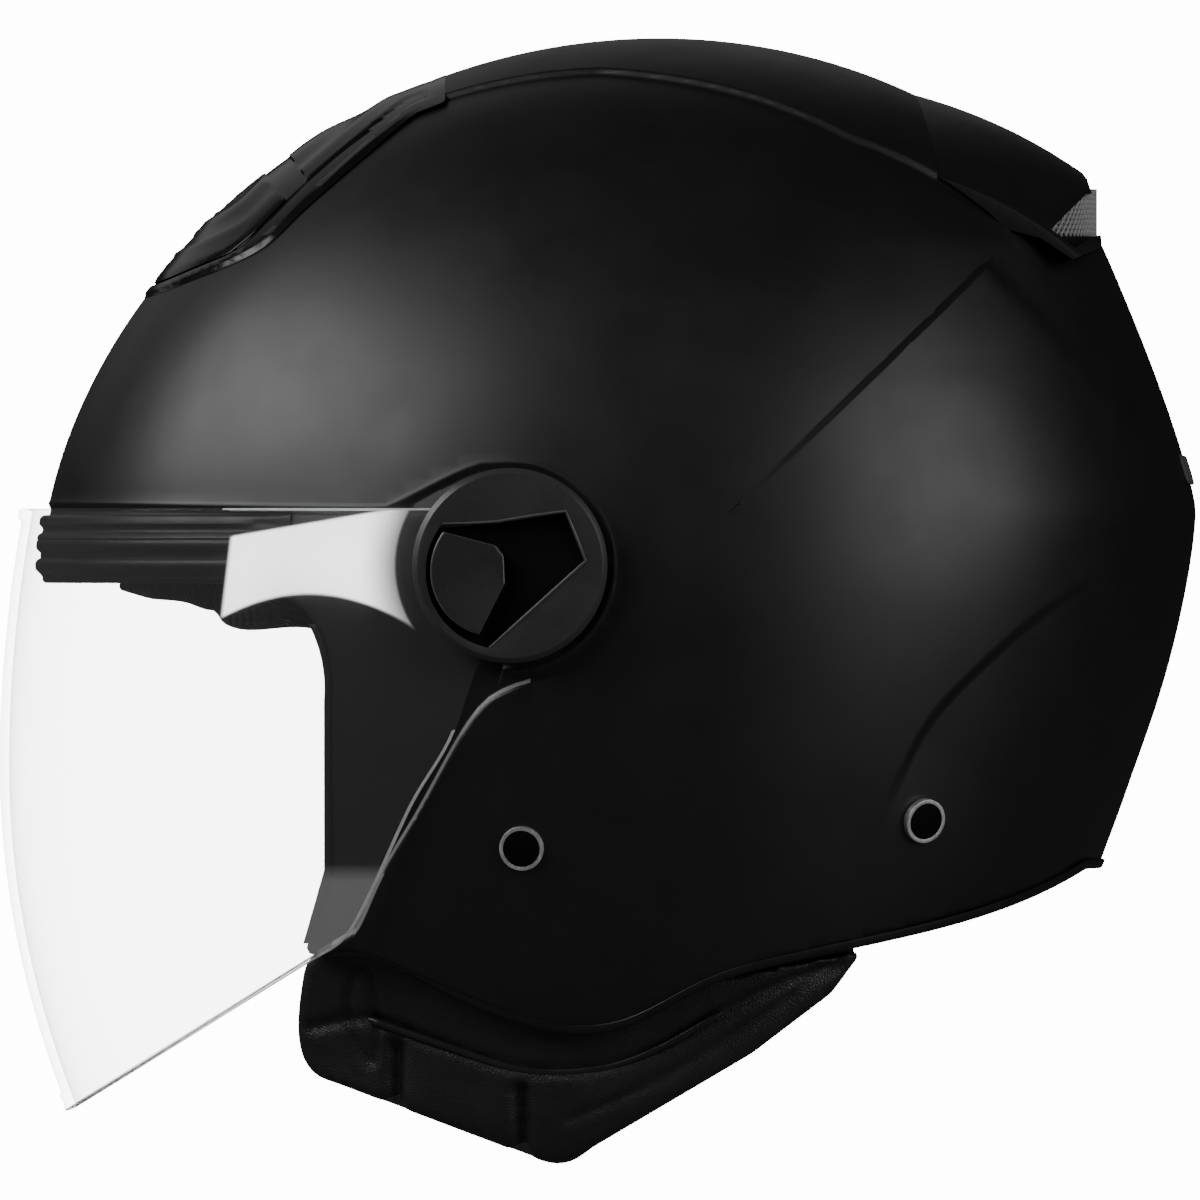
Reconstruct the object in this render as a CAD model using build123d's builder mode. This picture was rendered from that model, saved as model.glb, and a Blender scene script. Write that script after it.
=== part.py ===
from build123d import *
from functools import lru_cache
from math import cos, pi, sin, sqrt
import os

os.makedirs("parts", exist_ok=True)

# Open face motorcycle helmet with a long clear visor.
# Millimetres. Front of the helmet is -X, the wearer's left is -Y, up is +Z.
# The origin is the middle of the head space, level with the visor's pivots.

# ---- outer form -------------------------------------------------------------
CENTRE_X = 9.6            # widest station, seen from above
FRONT_REACH = 148.4       # centre to forehead
REAR_REACH = 128.6        # centre to back of the shell
HALF_WIDTH = 120.5        # widest half width
WIDE_LEVEL = -12.0        # height of the widest half width
CROWN_HEIGHT = 126.7      # origin to crown
REAR_LEVEL = 13.4         # height of the rearmost point
PLAN_POWER = 2.2          # fullness of the plan outline, 2 is an ellipse
BROW_POWER = 1.75         # fullness of the front profile above the pivots
BACK_SLOPE, BACK_POWER = 0.36, 1.25  # flatter stretch of the back, under the spoiler

# ---- walls, from the outside in --------------------------------------------
SHELL_WALL = 3.5
FOAM_OUT, FOAM_IN = 3.9, 28.0
LINER_OUT, LINER_IN = 28.5, 37.0
BROW_BAND_OUT = 18.0
PAD_OUT, PAD_IN = 4.4, 43.0
ROLL_IN = 38.0

# ---- shell's edges, seen from the side ----------------------------------------
BROW_LEVEL = -3.2
HEM_REAR_LEVEL = -70.2
BROW_CURVE = [(-76.8, -8.2), (-70.8, -17.8), (-68.9, -32.2)]
PORT_FOOT = (-68.9, -72.5)          # where the edge beside the face port turns forward
HEM_FRONT = (-74.9, -93.4)
BOTTOM_CURVE = [(-62.4, -90.8), (-40.8, -99.8), (-24.2, -106.6), (-11.3, -109.2), (0.0, -108.0),
                (19.2, -98.6), (37.0, -92.9), (62.4, -87.4), (96.0, -77.9), (111.6, HEM_REAR_LEVEL)]

# ---- trims ---------------------------------------------------------------------
BEAD = 2.3                # height of the rubber bead under the hem
BEAD_RISE = 0.8           # how far the bead stands out from the shell
PORT_BEAD = 1.6           # width of the rubber edge beside the face port
BROW_TOP, BROW_RISE = 10.4, 1.7
BROW_ENDS_X = -82.0
TRIM_IN = 3.8             # how far the trims reach in, past the shell's wall
PLAQUE_WIDTH, PLAQUE_HEIGHT, PLAQUE_RISE = 44.0, 7.0, 0.6
PLAQUE_LEVEL = 23.0

# ---- vents ---------------------------------------------------------------------
VENT_OUTLINE = [(-112.8, 64.5), (-106.6, 66.6), (-93.1, 72.0), (-84.0, 77.0), (-74.4, 86.2),
                (-56.0, 102.5), (-49.2, 108.2)]
VENT_LIP = 3.5
VENT_REAR_X = -42.0
VENT_RISE = 0.8
VENT_FLOOR = 1.9
SLIDER_FRONT = [(-108.4, 68.6), (-93.1, 74.8), (-88.0, 79.0)]
SLIDER_RISE, SLIDER_DEPTH = 0.6, 1.2
SLIDER_WAY = (0.697, 0.717)      # direction of travel, back and up
SLIDER_LENGTH = 11.5
SLIDER_ROOM = 7.0
INTAKE_LEVEL, INTAKE_RADIUS = 88.0, 4.0
EXHAUST_LEVEL, EXHAUST_RADIUS = 82.0, 4.5
SPOILER = [(62.0, 125.0), (100.0, 110.0), (112.0, 92.8), (113.8, 86.0), (115.0, 79.6),
           (115.2, 76.2), (108.0, 73.2), (100.2, 78.4), (91.2, 80.6), (72.0, 92.6), (62.0, 99.0)]
SPOILER_INSET, SPOILER_SHIFT = 9.0, 26.0
SPOILER_HALF = 58.0
GRILLE = [(102.2, 79.8), (111.6, 89.0), (124.0, 91.4), (124.0, 79.2), (114.0, 79.0), (108.4, 76.0)]
GRILLE_REACH = 105.0      # centre to the upright mesh behind the exhaust openings
GRILLE_HALF_WIDTH = 91.7
GRILLE_WALL = 1.0
GRILLE_FOOT, GRILLE_HEIGHT = 70.0, 25.0

# ---- visor and its pivots --------------------------------------------------------
VISOR_WALL = 2.2
VISOR_POWER = 2.3
VISOR_BULGE_X = -148.8    # foremost point of the visor
VISOR_BULGE_LEVEL = -48.0
VISOR_HALF_WIDTH = 122.8
VISOR_TOP = 13.2
VISOR_LEVELS = (-140.0, -115.0, -90.0, -65.0, -40.0, -15.0, VISOR_TOP)
VISOR_NECK = [(-33.6, -22.0), (-26.2, -10.0)]      # where the screen narrows into its arm
VISOR_REAR_EDGE = [(-40.8, -41.0), (-50.0, -56.5), (-59.5, -77.0)]
VISOR_HEM = [(-66.0, -88.5), (-74.4, -94.1)]
VISOR_TIP = (-133.2, -130.6)
PIVOT_X = -26.2
ARM_RADIUS = 19.0
HUB_RADIUS = 8.9
HUB_CLEARANCE = 0.08
HUB_FLANGE_RADIUS, HUB_FLANGE_FACE = 10.5, 117.0
PIVOT_SCREW_RADIUS, SCREW_HEAD_RADIUS, SCREW_HEAD_DEPTH = 2.0, 4.0, 2.5
NUT_RADIUS, NUT_FACE = 6.0, 114.0
COVER_RADIUS = 23.2
COVER_FACE = 127.0        # outer face of the pivot cover, from the middle plane
COVER_BACK = 123.3
WINDOW_DEPTH = 2.4
WINDOW = [(-42.6, 9.6), (-29.3, 10.1), (-13.2, 12.6), (-8.6, 1.2), (-31.5, -19.5)]
TAB = [(-42.2, 8.4), (-29.3, 5.0), (-27.4, 2.6), (-27.1, -4.3), (-33.4, -16.8)]
WINDOW_ARC_MIDDLE = (-46.0, -4.0)
TAB_RISE = 1.4
TAB_GAP = 0.3

# ---- foam and lining ---------------------------------------------------------------
PORT_LEVEL, CHEEK_LEVEL, ROLL_TOP = -31.0, -33.0, -57.0
FOAM_FOOT, LINER_FOOT = -55.5, -54.0
EPS_CURVE = [(-76.0, -6.0), (-69.0, -16.0), (-66.0, -28.0)]
BROW_SAG = [(-112.0, -8.0), (-102.4, -9.0), (-92.4, -15.0), (-84.3, -15.2), (-77.0, -14.6),
            (-64.0, -27.0)]
PAD_CLEAR_OF_MIDDLE = 56.0
PAD_REAR_X = 22.5
PAD_FRONT = [(-66.6, -75.0), (-72.8, -92.6), (-75.2, -95.4)]
PAD_HEM = [(-76.7, -112.6), (-74.6, -119.2), (-68.2, -123.2)]
PAD_TOE = [(-15.5, -142.6), (-7.2, -139.0)]
ROLL_FRONT_X = 24.5
ROLL_HEM = [(24.5, -93.0), (62.4, -86.0), (96.0, -76.8), (108.0, -71.3)]
PAD_STUDS = [(-54.0, -50.0), (4.0, -46.0), (3.0, -98.0)]
STUD_RADIUS, STUD_DEPTH, STUD_GAP = 5.0, 10.0, 0.3

# ---- straps and fasteners ---------------------------------------------------
FRONT_RIVET = (-23.3, -67.0)
REAR_RIVET = (72.0, -60.5)
RIVET_HEAD_RADIUS, RIVET_RISE = 5.3, 1.6
RIVET_SHANK_RADIUS = 2.5
RIVET_BOWL_RADIUS = 4.4
RIVET_ROOM_RADIUS, RIVET_ROOM_DEPTH = 9.0, 15.0
PLATE_RADIUS, PLATE_WALL = 7.5, 1.2
FRONT_PLATE_DEPTH, REAR_PLATE_DEPTH = 13.2, 8.4
STRAP_X0, STRAP_X1 = -42.0, -18.0
STRAP_THICKNESS = 2.0
STRAP_ROOM = 1.4
STRAP_TOP, STRAP_TURN = -56.0, -86.0
REAR_BAND = [(82.0, -56.8), (82.0, -68.5), (66.0, -71.0), (-17.0, -95.0), (-17.0, -78.0),
             (62.0, -56.8)]

# ---- buckle ------------------------------------------------------------------------
FRAME_WALL = 1.4
FRAME_X0, FRAME_X1 = STRAP_X0 - 2.0, STRAP_X1 + 2.0
FRAME_BACK, FRAME_FRONT = -21.8, 10.0
FRAME_TOP, FRAME_FOOT = -117.5, -129.5
LEVER_Y, LEVER_Z = -14.0, -126.2
LEVER_PIN_RADIUS = 1.5
LEVER_SIDE_GAP = 0.4
TONGUE_TOP, TONGUE_FOOT = -120.0, -122.2
TONGUE_LENGTH, TONGUE_MIDDLE_Y = 43.6, 12.0
TEETH, TOOTH_PITCH, FIRST_TOOTH_Y = 9, 2.4, -8.0

SIDES = (("left", -1), ("right", 1))
DOME_LEVELS = (-150, -115, -80, -50, -25, 0, 13.4)
DOME_ANGLES = (14, 24, 34, 44, 54, 63, 71, 78, 84, 88)


def section_reaches(level, inset):
    """Front reach, rear reach and half width of the outer form at one height."""
    crown = CROWN_HEIGHT - inset
    front, rear, half = FRONT_REACH - inset, REAR_REACH - inset, HALF_WIDTH - inset
    if level > 0:
        front *= sqrt(max(0.0, 1 - (level / crown) ** BROW_POWER))
    else:
        front -= 13 * (-level / 115) ** 3
    if level > REAR_LEVEL:
        rise = (level - REAR_LEVEL) / (crown - REAR_LEVEL)
        rear *= min(sqrt(max(0.0, 1 - rise ** 2)), 1 - BACK_SLOPE * rise ** BACK_POWER)
    else:
        rear -= 0.0296 * (REAR_LEVEL - level) ** 1.495
    if level > WIDE_LEVEL:
        rise = (level - WIDE_LEVEL) / (crown - WIDE_LEVEL)
        half *= sqrt(max(0.0, 1 - rise ** 2))
    else:
        half -= 0.00184 * (level - WIDE_LEVEL) ** 2
    return front, rear, half


def plan_points(front, rear, half, power, count=24):
    """Points of a rounded plan outline with its own reach to front and rear."""
    points = []
    for step in range(count):
        angle = 2 * pi * step / count
        run = abs(cos(angle)) ** (2 / power)
        side = abs(sin(angle)) ** (2 / power)
        x = CENTRE_X + (rear * run if cos(angle) > 0 else -front * run)
        points.append((x, half * side * (1 if sin(angle) > 0 else -1)))
    return points


@lru_cache(maxsize=None)
def form(inset):
    """Closed solid of the helmet's outer form, moved inwards by inset."""
    crown = CROWN_HEIGHT - inset
    levels = list(DOME_LEVELS) + [crown * sin(angle * pi / 180) for angle in DOME_ANGLES]
    with BuildPart() as volume:
        for level in levels:
            with BuildSketch(Plane.XY.offset(level)):
                with BuildLine():
                    Spline(*plan_points(*section_reaches(level, inset), PLAN_POWER),
                           periodic=True)
                make_face()
        loft()
    return volume.part


def form_y(x, level, inset=0.0):
    """Half width of the outer form at a place seen from the side."""
    front, rear, half = section_reaches(level, inset)
    run = (x - CENTRE_X) / (rear if x > CENTRE_X else front)
    return half * (1 - abs(run) ** PLAN_POWER) ** (1 / PLAN_POWER)


def side_prism(points, half_depth=160.0):
    """Straight-sided outline drawn from the side as (x, z) and carried across the helmet."""
    with BuildPart() as prism:
        with BuildSketch(Plane.XZ):
            with BuildLine():
                Polyline(*points, close=True)
            make_face()
        extrude(amount=half_depth, both=True)
    return prism.part


def side_shape(start, curves, half_depth=160.0):
    """Side outline of straight lines and curves: each curve is a list of (x, z) points."""
    with BuildPart() as prism:
        with BuildSketch(Plane.XZ):
            with BuildLine():
                here = start
                for run in curves:
                    if len(run) == 1:
                        Line(here, run[0])
                    else:
                        Spline(here, *run)
                    here = run[-1]
                Line(here, start)
            make_face()
        extrude(amount=half_depth, both=True)
    return prism.part


def layer(outer, inner):
    """Everything between two insets of the outer form."""
    with BuildPart() as skin:
        add(form(outer))
        add(form(inner), mode=Mode.SUBTRACT)
    return skin.part


def save(piece, name):
    """Label one finished piece and write it."""
    piece.label = name
    export_step(piece, f"parts/{name}.step")


def peg(x, level, radius, y0, y1, side):
    """Round pin across the helmet, from y0 to y1 on one side."""
    with BuildPart() as pin:
        with BuildSketch(Plane.XZ.offset(-side * y0)):
            with Locations((x, level)):
                Circle(radius)
        extrude(amount=-side * (y1 - y0))
    return pin.part


# ---- side outlines shared by several pieces ----------------------------------
def shell_outline(drop=0.0, ahead=0.0):
    """Shell seen from the side: above the brow, behind the face port, above the hem."""
    def moved(points):
        return [(x - ahead, z - drop) for x, z in points]
    return side_shape((-170.0, BROW_LEVEL - drop), [
        moved([(-91.2, BROW_LEVEL)]), moved(BROW_CURVE), moved([PORT_FOOT]),
        moved([HEM_FRONT]), moved(BOTTOM_CURVE), [(170.0, HEM_REAR_LEVEL - drop)],
        [(170.0, 140.0)], [(-170.0, 140.0)]])


def skin_normal(x, level, side):
    """Place on the shell's outer face seen at (x, level), as a plane facing out of it."""
    step = 1.0
    y = form_y(x, level)
    along_x = (form_y(x + step, level) - form_y(x - step, level)) / (2 * step)
    along_z = (form_y(x, level + step) - form_y(x, level - step)) / (2 * step)
    return Plane(origin=(x, side * y, level), z_dir=(-along_x, side, -along_z))


def skin_pin(place, radius, depth, height, side):
    """Round pin square to the shell's outer face, from depth below it to height above it."""
    with BuildPart() as pin:
        with BuildSketch(skin_normal(*place, side).offset(-depth)):
            Circle(radius)
        extrude(amount=depth + height)
    return pin.part


# ---- vents -------------------------------------------------------------------
def vent_region(rim):
    """Top vent seen from the side, drawn in by rim from its lower edge."""
    lower = [(x + 0.55 * rim, z + 0.83 * rim) for x, z in VENT_OUTLINE]
    return side_shape((-135.0, lower[0][1] - 1.0), [[lower[0]], lower[1:],
                      [(VENT_REAR_X - rim, 111.0 + rim)], [(VENT_REAR_X - rim, 140.0)],
                      [(-135.0, 140.0)]])


def slider_region(gap=0.0, room=0.0):
    """Vent slider seen from the side; gap widens it all round and room lengthens its track."""
    front = [(x - 0.5 * gap, z - 0.85 * gap) for x, z in SLIDER_FRONT]
    along, up = SLIDER_WAY
    corner = front[-1]
    reach = SLIDER_LENGTH + 2 * gap + room
    return side_prism([(-130.0, front[0][1] - 6.0), *front,
                       (corner[0] + along * reach, corner[1] + up * reach),
                       (-90.0 + along * (gap + room), 100.0 + up * (gap + room)),
                       (-130.0, 118.0)])


def cross_bores(level, radius, x0, x1, places):
    """Air passages that run from front to back through the walls."""
    with BuildPart() as bores:
        with BuildSketch(Plane.YZ.offset(x0)):
            with Locations(*[(y, level) for y in places]):
                Circle(radius)
        extrude(amount=x1 - x0)
    return bores.part


INTAKES = cross_bores(INTAKE_LEVEL, INTAKE_RADIUS, -120.0, -40.0, (-22.0, 22.0))
EXHAUSTS = cross_bores(EXHAUST_LEVEL, EXHAUST_RADIUS, 50.0, 111.5, (-26.0, 0.0, 26.0))


# ---- shell and its trims -----------------------------------------------------
with BuildPart() as outer_shell:
    add(layer(0, SHELL_WALL))
    add(shell_outline(), mode=Mode.INTERSECT)
    add(vent_region(VENT_LIP), mode=Mode.SUBTRACT)
    add(EXHAUSTS, mode=Mode.SUBTRACT)
    for side in (-1, 1):
        for place in (FRONT_RIVET, REAR_RIVET):
            add(skin_pin(place, RIVET_SHANK_RADIUS + 0.1, 8, 4, side), mode=Mode.SUBTRACT)
        add(peg(PIVOT_X, 0, PIVOT_SCREW_RADIUS + 0.3, 100, 130, side), mode=Mode.SUBTRACT)
save(outer_shell.part, "outer_shell")

with BuildPart() as edge_trim:
    add(layer(-BEAD_RISE, TRIM_IN))
    add(shell_outline(drop=BEAD), mode=Mode.INTERSECT)
    add(shell_outline(drop=0.05), mode=Mode.SUBTRACT)
    with BuildSketch(Plane.XZ):
        with BuildLine():
            Polyline((-71.0, -60.0), (-71.0, -130.0), (150.0, -130.0), (150.0, -60.0), close=True)
        make_face()
    extrude(amount=150, both=True, mode=Mode.INTERSECT)
save(edge_trim.part, "edge_trim")

for name, side in SIDES:
    with BuildPart() as face_trim:
        add(layer(-0.4, TRIM_IN))
        add(shell_outline(ahead=PORT_BEAD), mode=Mode.INTERSECT)
        add(shell_outline(ahead=0.05), mode=Mode.SUBTRACT)
        with BuildSketch(Plane.XZ.offset(-side * 20)):
            with BuildLine():
                Polyline((-90.0, -14.0), (-60.0, -14.0), (-60.0, -90.0), (-90.0, -90.0),
                         close=True)
            make_face()
        extrude(amount=-side * 130, mode=Mode.INTERSECT)
    save(face_trim.part, f"face_trim_{name}")

with BuildPart() as brow_trim:
    add(layer(-BROW_RISE, 0))
    with BuildSketch(Plane.XZ):
        with BuildLine():
            Polyline((-150.0, BROW_TOP), (-150.0, BROW_LEVEL + 0.6), (BROW_ENDS_X, BROW_LEVEL + 0.6),
                     (BROW_ENDS_X + 4, BROW_TOP), close=True)
        make_face()
    extrude(amount=150, both=True, mode=Mode.INTERSECT)
save(brow_trim.part, "brow_trim")

with BuildPart() as rear_plaque:
    add(layer(-PLAQUE_RISE, 0))
    with BuildSketch(Plane.YZ.offset(100)):
        with Locations((0, PLAQUE_LEVEL)):
            RectangleRounded(PLAQUE_WIDTH, PLAQUE_HEIGHT, 2)
    extrude(amount=60, mode=Mode.INTERSECT)
save(rear_plaque.part, "rear_plaque")

# ---- vents -------------------------------------------------------------------
with BuildPart() as top_vent_housing:
    add(layer(-VENT_RISE, 0))
    add(vent_region(0), mode=Mode.INTERSECT)
    with BuildPart(mode=Mode.PRIVATE) as vent_well:
        add(layer(-VENT_RISE, SHELL_WALL))
        add(vent_region(VENT_LIP + 0.8), mode=Mode.INTERSECT)
    add(vent_well.part)
    with BuildPart(mode=Mode.PRIVATE) as slider_track:
        add(layer(-6, VENT_FLOOR))
        add(slider_region(gap=0.5, room=SLIDER_ROOM), mode=Mode.INTERSECT)
    add(slider_track.part, mode=Mode.SUBTRACT)
    add(INTAKES, mode=Mode.SUBTRACT)
save(top_vent_housing.part, "top_vent_housing")

with BuildPart() as vent_slider:
    add(layer(-SLIDER_RISE, SLIDER_DEPTH))
    add(slider_region(), mode=Mode.INTERSECT)
save(vent_slider.part, "vent_slider")

with BuildPart() as rear_vent_housing:
    add(form(SPOILER_INSET).moved(Location((SPOILER_SHIFT, 0, 0))))
    add(form(0), mode=Mode.SUBTRACT)
    add(side_prism(SPOILER, SPOILER_HALF), mode=Mode.INTERSECT)
    with BuildPart(mode=Mode.PRIVATE) as grille_pocket:
        add(side_prism(GRILLE, SPOILER_HALF - 1.5))
        add(form(0), mode=Mode.SUBTRACT)
    add(grille_pocket.part, mode=Mode.SUBTRACT)
    add(EXHAUSTS, mode=Mode.SUBTRACT)
save(rear_vent_housing.part, "rear_vent_housing")

with BuildPart() as rear_vent_mesh:
    for reach, mode in ((GRILLE_REACH, Mode.ADD), (GRILLE_REACH - GRILLE_WALL, Mode.SUBTRACT)):
        with BuildSketch(Plane.XY.offset(GRILLE_FOOT)):
            with BuildLine():
                Spline(*plan_points(reach, reach, GRILLE_HALF_WIDTH - GRILLE_REACH + reach,
                                    PLAN_POWER), periodic=True)
            make_face()
        extrude(amount=GRILLE_HEIGHT, mode=mode)
    add(side_prism(GRILLE, SPOILER_HALF - 2), mode=Mode.INTERSECT)
    with BuildSketch(Plane.XZ):
        with Locations((110, 80)):
            Rectangle(40, 40)
    extrude(amount=100, both=True, mode=Mode.INTERSECT)
    add(form(-0.1), mode=Mode.SUBTRACT)
save(rear_vent_mesh.part, "rear_vent_mesh")

# ---- foam and lining ---------------------------------------------------------
def strap_wall(level):
    """Distance of the webbing from the middle plane where it lies beside the shell."""
    return form_y(STRAP_X0, level, SHELL_WALL) - STRAP_THICKNESS / 2 - 0.7


STRAP_START = [(strap_wall(STRAP_TOP), STRAP_TOP), (strap_wall(STRAP_TURN), STRAP_TURN),
               (74.0, -102.0), (58.0, -113.0)]
LEFT_STRAP = [(-y, z) for y, z in STRAP_START] + [(-40.0, -121.5), (-22.0, -122.5)]
RIGHT_STRAP = STRAP_START + [(46.0, -120.5), (34.0, -122.5)]


def ribbon(points, thickness, x0, x1):
    """Webbing whose line is drawn across the helmet as (y, z) and has its width along x."""
    with BuildPart() as band:
        with BuildSketch(Plane.YZ.offset(x0)):
            with BuildLine() as route:
                FilletPolyline(*points, radius=5.0)
            trace(route.wires()[0], line_width=thickness)
        extrude(amount=x1 - x0)
    return band.part


def rear_strap_solid(side, room=0.0):
    """Webbing that hugs the inside of the shell from the rear rivet to the chin strap."""
    with BuildPart() as band:
        add(layer(SHELL_WALL + 0.2 - min(room, 0.15), SHELL_WALL + 0.2 + STRAP_THICKNESS + room))
        with BuildSketch(Plane.XZ.offset(-side * 40)):
            with BuildLine():
                Polyline(*REAR_BAND, close=True)
            make_face()
            if room:
                offset(amount=room)
        extrude(amount=-side * 90, mode=Mode.INTERSECT)
    return band.part


def rivet_room(place, side):
    """Space for a rivet and its inner plate, square to the shell."""
    return skin_pin(place, RIVET_ROOM_RADIUS, RIVET_ROOM_DEPTH, 2.0, side)


with BuildPart() as eps_liner:
    add(layer(FOAM_OUT, FOAM_IN))
    add(side_shape((-170.0, -2.4), [[(-91.0, -2.4)], EPS_CURVE, [(23.0, PORT_LEVEL)],
                   [(24.5, FOAM_FOOT)], [(170.0, FOAM_FOOT)], [(170.0, 140.0)], [(-170.0, 140.0)]]),
        mode=Mode.INTERSECT)
    add(INTAKES, mode=Mode.SUBTRACT)
    add(EXHAUSTS, mode=Mode.SUBTRACT)
    for side in (-1, 1):
        add(peg(PIVOT_X, 0, 8.0, 100, 120, side), mode=Mode.SUBTRACT)
        add(rivet_room(REAR_RIVET, side), mode=Mode.SUBTRACT)
save(eps_liner.part, "eps_liner")

with BuildPart() as comfort_liner:
    add(layer(LINER_OUT, LINER_IN))
    with BuildPart(mode=Mode.PRIVATE) as brow_band:
        add(layer(BROW_BAND_OUT, LINER_IN))
        with BuildSketch(Plane.XZ):
            with BuildLine():
                Polyline((-150.0, -2.8), (-150.0, -40.0), (-72.0, -40.0), (-72.0, -20.0),
                         (-88.0, -2.8), close=True)
            make_face()
        extrude(amount=150, both=True, mode=Mode.INTERSECT)
    add(brow_band.part)
    add(side_shape((-170.0, -6.0), [[(-118.0, -6.0)], BROW_SAG, [(23.0, PORT_LEVEL)],
                   [(27.0, -44.0)], [(60.0, LINER_FOOT)], [(170.0, LINER_FOOT)], [(170.0, 140.0)],
                   [(-170.0, 140.0)]]), mode=Mode.INTERSECT)
save(comfort_liner.part, "comfort_liner")

for name, side in SIDES:
    with BuildPart() as cheek_pad:
        add(layer(PAD_OUT, PAD_IN))
        add(side_shape((-66.2, CHEEK_LEVEL), [[corner] for corner in PAD_FRONT] + [PAD_HEM,
                       [(-18.0, -142.1)], PAD_TOE, [(31.4, -116.2)], [(50.4, -101.8)],
                       [(58.0, -91.5)], [(PAD_REAR_X, -98.0)], [(PAD_REAR_X, CHEEK_LEVEL)]]),
            mode=Mode.INTERSECT)
        with BuildSketch(Plane.XZ.offset(-side * PAD_CLEAR_OF_MIDDLE)):
            with Locations((0, -80)):
                Rectangle(300, 200)
        extrude(amount=-side * 100, mode=Mode.INTERSECT)
        strap_line = LEFT_STRAP if side < 0 else RIGHT_STRAP
        add(ribbon(strap_line, STRAP_THICKNESS + 2 * STRAP_ROOM, STRAP_X0 - 1.0, STRAP_X1 + 1.0),
            mode=Mode.SUBTRACT)
        add(rear_strap_solid(side, room=0.6), mode=Mode.SUBTRACT)
        add(rivet_room(FRONT_RIVET, side), mode=Mode.SUBTRACT)
        for place in PAD_STUDS:
            add(skin_pin(place, STUD_RADIUS + STUD_GAP, STUD_DEPTH + 0.5, 2.0, side), mode=Mode.SUBTRACT)
    save(cheek_pad.part, f"cheek_pad_{name}")

    with BuildPart() as rear_strap:
        add(rear_strap_solid(side))
        add(skin_pin(REAR_RIVET, RIVET_SHANK_RADIUS + 0.1, 12, 4, side), mode=Mode.SUBTRACT)
    save(rear_strap.part, f"rear_strap_{name}")

    with BuildPart() as chin_strap:
        add(ribbon(strap_line, STRAP_THICKNESS, STRAP_X0, STRAP_X1))
        add(skin_pin(FRONT_RIVET, RIVET_SHANK_RADIUS + 0.1, 14, 4, side), mode=Mode.SUBTRACT)
    save(chin_strap.part, f"chin_strap_{name}")

with BuildPart() as pad_studs:
    for side in (-1, 1):
        for place in PAD_STUDS:
            add(skin_pin(place, STUD_RADIUS, STUD_DEPTH, 0.0, side))
    add(form(SHELL_WALL + 0.15), mode=Mode.INTERSECT)
save(pad_studs.part, "pad_studs")

with BuildPart() as neck_roll:
    add(layer(PAD_OUT, ROLL_IN))
    add(side_prism([(ROLL_FRONT_X, ROLL_TOP), *ROLL_HEM, (150.0, ROLL_HEM[-1][1]),
                    (150.0, ROLL_TOP)]), mode=Mode.INTERSECT)
    for side in (-1, 1):
        add(rear_strap_solid(side, room=0.6), mode=Mode.SUBTRACT)
        add(rivet_room(REAR_RIVET, side), mode=Mode.SUBTRACT)
save(neck_roll.part, "neck_roll")

# ---- visor and its pivots ----------------------------------------------------
def visor_form(inset):
    """Closed solid of the visor's bulged form, moved inwards by inset."""
    with BuildPart() as volume:
        for level in VISOR_LEVELS:
            bow = 0.0015 if level > VISOR_BULGE_LEVEL else 0.0024
            nose = VISOR_BULGE_X + bow * (level - VISOR_BULGE_LEVEL) ** 2
            half = VISOR_HALF_WIDTH - (0.0015 if level > 0 else 0.00088) * level ** 2
            with BuildSketch(Plane.XY.offset(level)):
                with BuildLine():
                    Spline(*plan_points(CENTRE_X - nose - inset, REAR_REACH, half - inset,
                                        VISOR_POWER), periodic=True)
                make_face()
        loft()
    return volume.part


with BuildPart() as visor:
    add(visor_form(0))
    add(visor_form(VISOR_WALL), mode=Mode.SUBTRACT)
    with BuildPart(mode=Mode.PRIVATE) as visor_outline:
        with BuildSketch(Plane.XZ):
            with BuildLine():
                edge = Polyline((PIVOT_X, VISOR_TOP - 0.1), (-170.0, VISOR_TOP - 0.1),
                                (-170.0, -151.0), VISOR_TIP, VISOR_HEM[1])
                Spline(edge @ 1, VISOR_HEM[0], VISOR_REAR_EDGE[2])
                Spline(*reversed(VISOR_REAR_EDGE), *VISOR_NECK)
                Line(VISOR_NECK[-1], (PIVOT_X, VISOR_TOP - 0.1))
            make_face()
            with Locations((PIVOT_X, 0)):
                Circle(ARM_RADIUS)
                Circle(HUB_RADIUS + HUB_CLEARANCE, mode=Mode.SUBTRACT)
        extrude(amount=160, both=True)
    add(visor_outline.part, mode=Mode.INTERSECT)
save(visor.part, "visor")

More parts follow.
